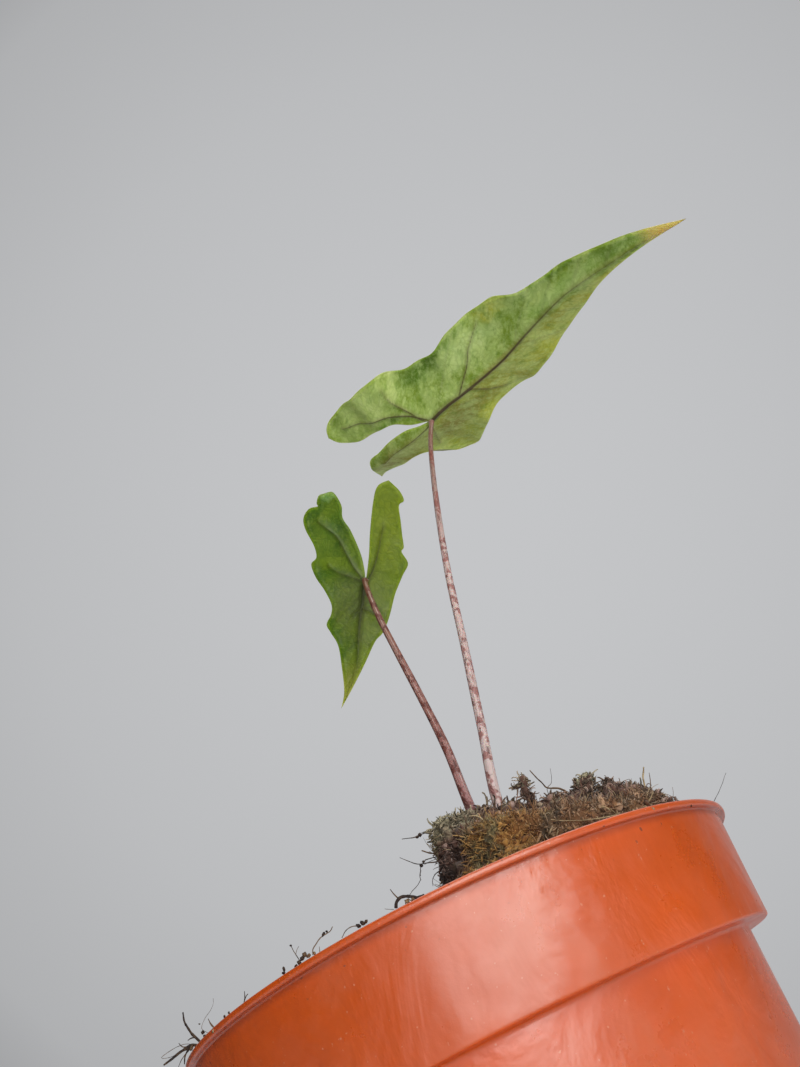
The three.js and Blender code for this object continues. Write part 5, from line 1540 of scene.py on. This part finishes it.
def blade_finish(name, tones, settings):
    """Leaf skin. On the underside each half has its own green, soft patches lie over it, and mottling is
    drawn out along the side veins, with a fine net of veinlets. Strong veins are dark lines that thin and
    fade outwards, the margin has a thin darker line, and the tip yellows and ends brown. The upper side is
    glossier, deeper green and splashed with cream."""
    finish = Finish(name, IOR=1.42, Subsurface_Weight=0.7, Subsurface_Scale=0.0018,
                    Subsurface_Radius=(0.8, 1.0, 0.4))
    lay = finish.field("lay", vector=True)
    parts = finish.node("SeparateXYZ", Vector=lay).outputs
    s, w = parts["X"], parts["Y"]
    sway = finish.node("TexNoise", Vector=lay, Scale=0.16, Detail=3.0, Roughness=0.55).outputs["Color"]
    centred = finish.vectors("SUBTRACT", sway, (0.5, 0.5, 0.5))["Vector"]
    uneven = finish.vectors("MULTIPLY_ADD", centred, (9.0, 7.0, 0.0), lay)["Vector"]
    slanted = finish.maths("SUBTRACT", s, finish.maths("MULTIPLY", finish.maths("ABSOLUTE", w), 0.5))
    level = finish.maths("MULTIPLY", w, 0.85)
    drawn = finish.node("CombineXYZ", X=slanted, Y=level, Z=0.0).outputs["Vector"]
    broad = finish.grain(drawn, 0.15, 4.0, 0.6, 0.3)
    medium = finish.grain(drawn, 0.4, 4.0, 0.6, 0.2)
    fine = finish.grain(lay, 1.1, 5.0, 0.62)
    veinlets = finish.cells(uneven, 0.62, "DISTANCE_TO_EDGE")

    mottle = tones["mottle"]
    below = finish.layer(tones["near"], tones["far"], w, tones["halves"] - 1.2, tones["halves"] + 1.2)
    for patch in tones["patches"]:
        below = soft_patch(finish, below, uneven, patch)
    for tone, value, low, high, strength in (
            ("light", broad, 0.42, 0.6, mottle), ("light", medium, 0.5, 0.66, 0.8 * mottle),
            ("deep", medium, 0.46, 0.32, 0.9 * mottle), ("light", fine, 0.4, 0.66, 0.22),
            ("deep", veinlets, 0.2, 0.0, 0.22)):
        below = finish.layer(below, tones[tone], value, low, high, strength)

    splash = finish.grain(drawn, 0.11, 5.0, 0.62, 0.5)
    above = finish.layer(deeper(tuple(settings.green), 0.62), tuple(settings.mint), splash, 0.46, 0.56)
    above = finish.layer(above, paint(226, 222, 178), splash, 0.62, 0.7, 0.85)
    skin = finish.mix(finish.field("under"), above, below)

    vein = finish.field("vein")
    skin = finish.layer(skin, tones["vein"], finish.field("faint"), 0.7, 0.05, 0.14)
    skin = finish.layer(skin, tones["vein_halo"], vein, 1.3, 0.2, 0.3)
    fading = finish.span(s, *tones["vein_fade"])
    line = finish.maths("MULTIPLY", finish.span(vein, tones["vein_width"], 0.03), fading)
    skin = finish.mix(line, skin, tones["vein"])
    skin = finish.layer(skin, tones["rim"], finish.field("edge"), 0.3, 0.04, 0.45)
    skin = finish.layer(skin, tones["tip"], s, *tones["tip_range"], 0.85)
    skin = finish.layer(skin, paint(128, 84, 50), s, *tones["point_range"])

    gloss = finish.span(finish.grain(lay, 3.2, 3.0, 0.6), 0.3, 0.7, 0.42, 0.54)
    gloss = finish.maths("SUBTRACT", gloss, finish.span(finish.field("under"), 1.0, 0.0, 0.0, 0.16))
    relief = finish.bump(finish.span(veinlets, 0.0, 0.3), 0.00012, 0.3)
    relief = finish.bump(fine, 0.00025, 0.22, relief)
    relief = finish.bump(medium, 0.0006, 0.25, relief)
    return finish.done(skin, gloss, relief)


def leaf_tones(settings):
    """Colours of each leaf's underside and where they change, in mm from the stalk. A patch holds the place
    (s, w) of its middle, its reach along s and w, its colour and its strength."""
    green, mint, yellow = tuple(settings.green), tuple(settings.mint), tuple(settings.yellow)
    deep_green = paint(70, 102, 20)
    olive = paint(136, 120, 62)
    large = {
        "near": paint(130, 148, 56), "far": paint(162, 160, 66), "halves": 1.2, "mottle": 0.5,
        "light": mint, "deep": green, "vein": paint(78, 58, 42), "vein_halo": paint(128, 118, 60),
        "rim": paint(98, 108, 46), "vein_width": 0.36, "vein_fade": (62.0, 22.0, 0.25, 0.9),
        "tip": paint(238, 196, 128), "tip_range": (72.0, 79.0), "point_range": (82.4, 83.8),
        "patches": [
            (-14, -15, 17, 8, paint(190, 202, 138), 0.85), (-12, -7.5, 11, 2.6, deep_green, 0.8),
            (8, -12, 13, 5, deep_green, 0.8), (22, -7, 15, 5, paint(188, 204, 150), 0.8),
            (33, -11, 8, 3, paint(188, 184, 86), 0.85), (50, -8, 17, 3, deep_green, 0.8),
            (20, -12, 8, 3, deep_green, 0.65), (52, -3, 20, 3, paint(168, 190, 122), 0.7),
            (70, -3.5, 12, 2.6, green, 0.7), (4, 7, 16, 6, olive, 0.8), (22, 8, 13, 4.5, olive, 0.35),
            (0, 18, 14, 7, paint(170, 172, 62), 0.8), (32, 9, 22, 5, yellow, 0.6),
            (10, 14, 9, 5, paint(184, 184, 78), 0.75), (-16, 3, 17, 7, paint(146, 132, 66), 0.9),
            (-27, 5, 8, 4, paint(160, 158, 96), 0.6), (58, 3, 22, 3, paint(182, 166, 74), 0.6),
        ],
    }
    small = {
        "near": paint(114, 130, 22), "far": paint(76, 106, 18), "halves": 0.3, "mottle": 0.3,
        "light": paint(136, 150, 48), "deep": paint(58, 84, 16), "vein": paint(56, 60, 30),
        "vein_halo": paint(74, 82, 38), "rim": paint(62, 80, 22), "vein_width": 0.34,
        "vein_fade": (22.0, 1.0, 0.2, 0.7), "tip": paint(158, 156, 66), "tip_range": (18.0, 30.0),
        "point_range": (30.6, 31.4),
        "patches": [
            # Painted shade: the first patch, grey-green over the middle of the blade round and ahead of the
            # stalk, which faces down, away from the light
            (6, 1, 13, 12, paint(98, 106, 58), 0.95), (-13, -4.5, 12, 5, paint(124, 134, 24), 0.7),
            (-9, 6.5, 9, 2.6, paint(50, 82, 10), 0.85), (-4.5, 9.5, 3.2, 5.5, paint(124, 142, 40), 0.75),
            (-13, 15, 7, 3.5, paint(58, 92, 14), 0.8), (1, 13.5, 8, 2.8, paint(62, 94, 20), 0.75),
            (-20.4, 11.6, 2.6, 3.4, paint(132, 166, 110), 0.95), (12, 8, 5, 3, paint(76, 110, 24), 0.75),
            (22, 2, 9, 3.4, paint(122, 132, 44), 0.75), (16, -3.5, 8, 3, paint(100, 114, 40), 0.65),
            (-2, -9, 7, 2.2, paint(96, 116, 34), 0.6),
        ],
    }
    return large, small


class ALOCASIA_OT_blades(bpy.types.Operator):
    """Add both leaf blades"""

    bl_idname = "alocasia.add_blades"
    bl_label = "Add Leaf Blades"

    def execute(self, context):
        """Builds the large mottled blade and the small green one."""
        settings = context.scene.alocasia_plant
        large, small = leaf_tones(settings)
        for node, leaf, tones, look, grid in (
                ("blade_large", LARGE_LEAF, large, "mottled", (70, 150, 72)),
                ("blade_small", SMALL_LEAF, small, "green", (70, 100, 60))):
            name = node + "_skin"
            add_piece(name, blade_mesh(name, leaf, settings, *grid),
                      blade_finish("leaf_" + look, tones, settings), "blade_" + look, node)
        return {"FINISHED"}


def floor_mesh(radius):
    """Round floor: a thin closed disc of rings, its top at the pot's base."""
    foot = -FLOOR_DEPTH
    outline = np.array([(0.02, foot), (0.5, foot), (1.0, foot), (1.0, 0.0), (0.5, 0.0), (0.02, 0.0)])
    rings = around(outline[:, :1] * radius / MM, full_turn(96), outline[:, 1:])
    points, face_sets = closed_rings(rings, np.array([0.0, 0.0, foot]), np.zeros(3))
    return make_mesh("floor", points, face_sets)


def floor_finish():
    """Pale matt floor with barely uneven tone."""
    finish = Finish("pale_floor", Roughness=0.8, Specular_IOR_Level=0.2)
    tone = finish.grain(finish.place(), 6.0, 3.0)
    return finish.done(finish.layer(paint(214, 215, 217), paint(222, 223, 225), tone, 0.3, 0.7))


def add_light(name, power, size, place, target, colour, roll=0.0):
    """Rectangular soft light at a place, in metres, turned to a target and rolled by an angle in degrees."""
    light = bpy.data.lights.new(name, "AREA")
    light.shape = "RECTANGLE"
    light.size, light.size_y = size
    light.energy = power
    light.color = colour
    lamp = bpy.data.objects.new(name, light)
    away = unit(np.array(place) - np.array(target))
    across = unit(np.cross(UPWARDS, away))
    level = np.cross(away, across)
    cosine, sine = np.cos(np.radians(roll)), np.sin(np.radians(roll))
    turn = np.column_stack([across * cosine + level * sine, level * cosine - across * sine, away])
    lamp.matrix_world = placed_matrix(turn.tolist(), place)
    lamp.visible_camera = False
    bpy.context.scene.collection.objects.link(lamp)


def placed_matrix(turn, place):
    """Matrix of a turn and a place, in metres."""
    matrix = Matrix(turn).to_4x4()
    matrix.translation = place
    return matrix


class ALOCASIA_OT_stage(bpy.types.Operator):
    """Add the floor, the soft lights, the grey surroundings and the camera"""

    bl_idname = "alocasia.add_stage"
    bl_label = "Add Stage"

    def execute(self, context):
        """Builds the stage round the part."""
        scene = context.scene
        settings = scene.alocasia_stage
        mesh = floor_mesh(settings.floor_radius)
        mesh.materials.append(floor_finish())
        floor = bpy.data.objects.new("floor", mesh)
        scene.collection.objects.link(floor)
        self.surroundings(scene, tuple(settings.backdrop))
        powers = {"window": settings.window_power, "side": settings.side_power,
                  "overhead": settings.sky_power}
        for name, given in LIGHTS.items():
            add_light(name, powers[name], *given)
        self.camera(scene)
        scene.view_settings.view_transform = "Standard"
        return {"FINISHED"}

    def surroundings(self, scene, colour):
        """Light grey beyond the plant, softly brightest right of it, which falls away to a dark room behind
        the camera. The tone depends on the cosine of the angle from the brightest direction."""
        world = bpy.data.worlds.new("surroundings")
        world.use_nodes = True
        scene.world = world
        nodes, links = world.node_tree.nodes, world.node_tree.links
        background = nodes["Background"]
        place = nodes.new("ShaderNodeTexCoord")
        towards = nodes.new("ShaderNodeVectorMath")
        towards.operation = "DOT_PRODUCT"
        towards.inputs[1].default_value = tuple(unit(np.array(ROOM_BRIGHTEST)))
        ramp = nodes.new("ShaderNodeValToRGB")
        stops = ramp.color_ramp.elements
        for index, (position, share) in enumerate(ROOM_FALL):
            stop = stops[index] if index < 2 else stops.new(position)
            stop.position = position
            stop.color = (*deeper(colour, share), 1.0)
        links.new(place.outputs["Generated"], towards.inputs[0])
        links.new(towards.outputs["Value"], ramp.inputs["Fac"])
        links.new(ramp.outputs["Color"], background.inputs["Color"])
        background.inputs["Strength"].default_value = 1.0

    def camera(self, scene):
        """Camera that looks up at the plant from near the pot, rolled as the view is."""
        data = bpy.data.cameras.new("camera")
        data.sensor_width = SENSOR_MM
        data.lens = SENSOR_MM * CAMERA_FOCAL_PIXELS / PICTURE_HEIGHT_PIXELS
        data.clip_start = 0.01
        data.clip_end = 50.0
        camera = bpy.data.objects.new("camera", data)
        turn = np.column_stack([CAMERA_RIGHT, CAMERA_UP, -np.array(CAMERA_FORWARD)])
        camera.matrix_world = placed_matrix(turn.tolist(), CAMERA_PLACE)
        scene.collection.objects.link(camera)
        scene.camera = camera


class ALOCASIA_PT_panel(bpy.types.Panel):
    """Potted alocasia: its settings and the steps that build it"""

    bl_label = "Potted Alocasia"
    bl_idname = "ALOCASIA_PT_panel"
    bl_space_type = "VIEW_3D"
    bl_region_type = "UI"
    bl_category = "Alocasia"

    def draw(self, context):
        """Lists each group of settings with its operator."""
        groups = (
            ("alocasia_pot", ALOCASIA_OT_pot), ("alocasia_soil", ALOCASIA_OT_soil), (None, ALOCASIA_OT_corm),
            (None, ALOCASIA_OT_stalks), ("alocasia_plant", ALOCASIA_OT_blades),
            ("alocasia_stage", ALOCASIA_OT_stage),
        )
        for group, operator in groups:
            box = self.layout.box()
            if group is not None:
                settings = getattr(context.scene, group)
                for name in settings.__annotations__:
                    box.prop(settings, name)
            box.operator(operator.bl_idname)


GROUPS = {
    "alocasia_pot": PotSettings, "alocasia_soil": SoilSettings, "alocasia_plant": PlantSettings,
    "alocasia_stage": StageSettings,
}
CLASSES = (
    *GROUPS.values(), ALOCASIA_OT_pot, ALOCASIA_OT_soil, ALOCASIA_OT_corm, ALOCASIA_OT_stalks,
    ALOCASIA_OT_blades, ALOCASIA_OT_stage, ALOCASIA_PT_panel,
)


def register():
    """Registers the classes and hangs the settings on the scene."""
    for entry in CLASSES:
        bpy.utils.register_class(entry)
    for group, kind in GROUPS.items():
        setattr(bpy.types.Scene, group, PointerProperty(type=kind))


def unregister():
    """Takes the settings and the classes away again."""
    for group in GROUPS:
        delattr(bpy.types.Scene, group)
    for entry in reversed(CLASSES):
        bpy.utils.unregister_class(entry)


def main():
    """Builds every piece and the stage."""
    register()
    bpy.ops.alocasia.add_stage()
    bpy.ops.alocasia.add_pot()
    bpy.ops.alocasia.add_soil()
    bpy.ops.alocasia.finish_corm()
    bpy.ops.alocasia.add_stalks()
    bpy.ops.alocasia.add_blades()


if __name__ == "__main__":
    main()
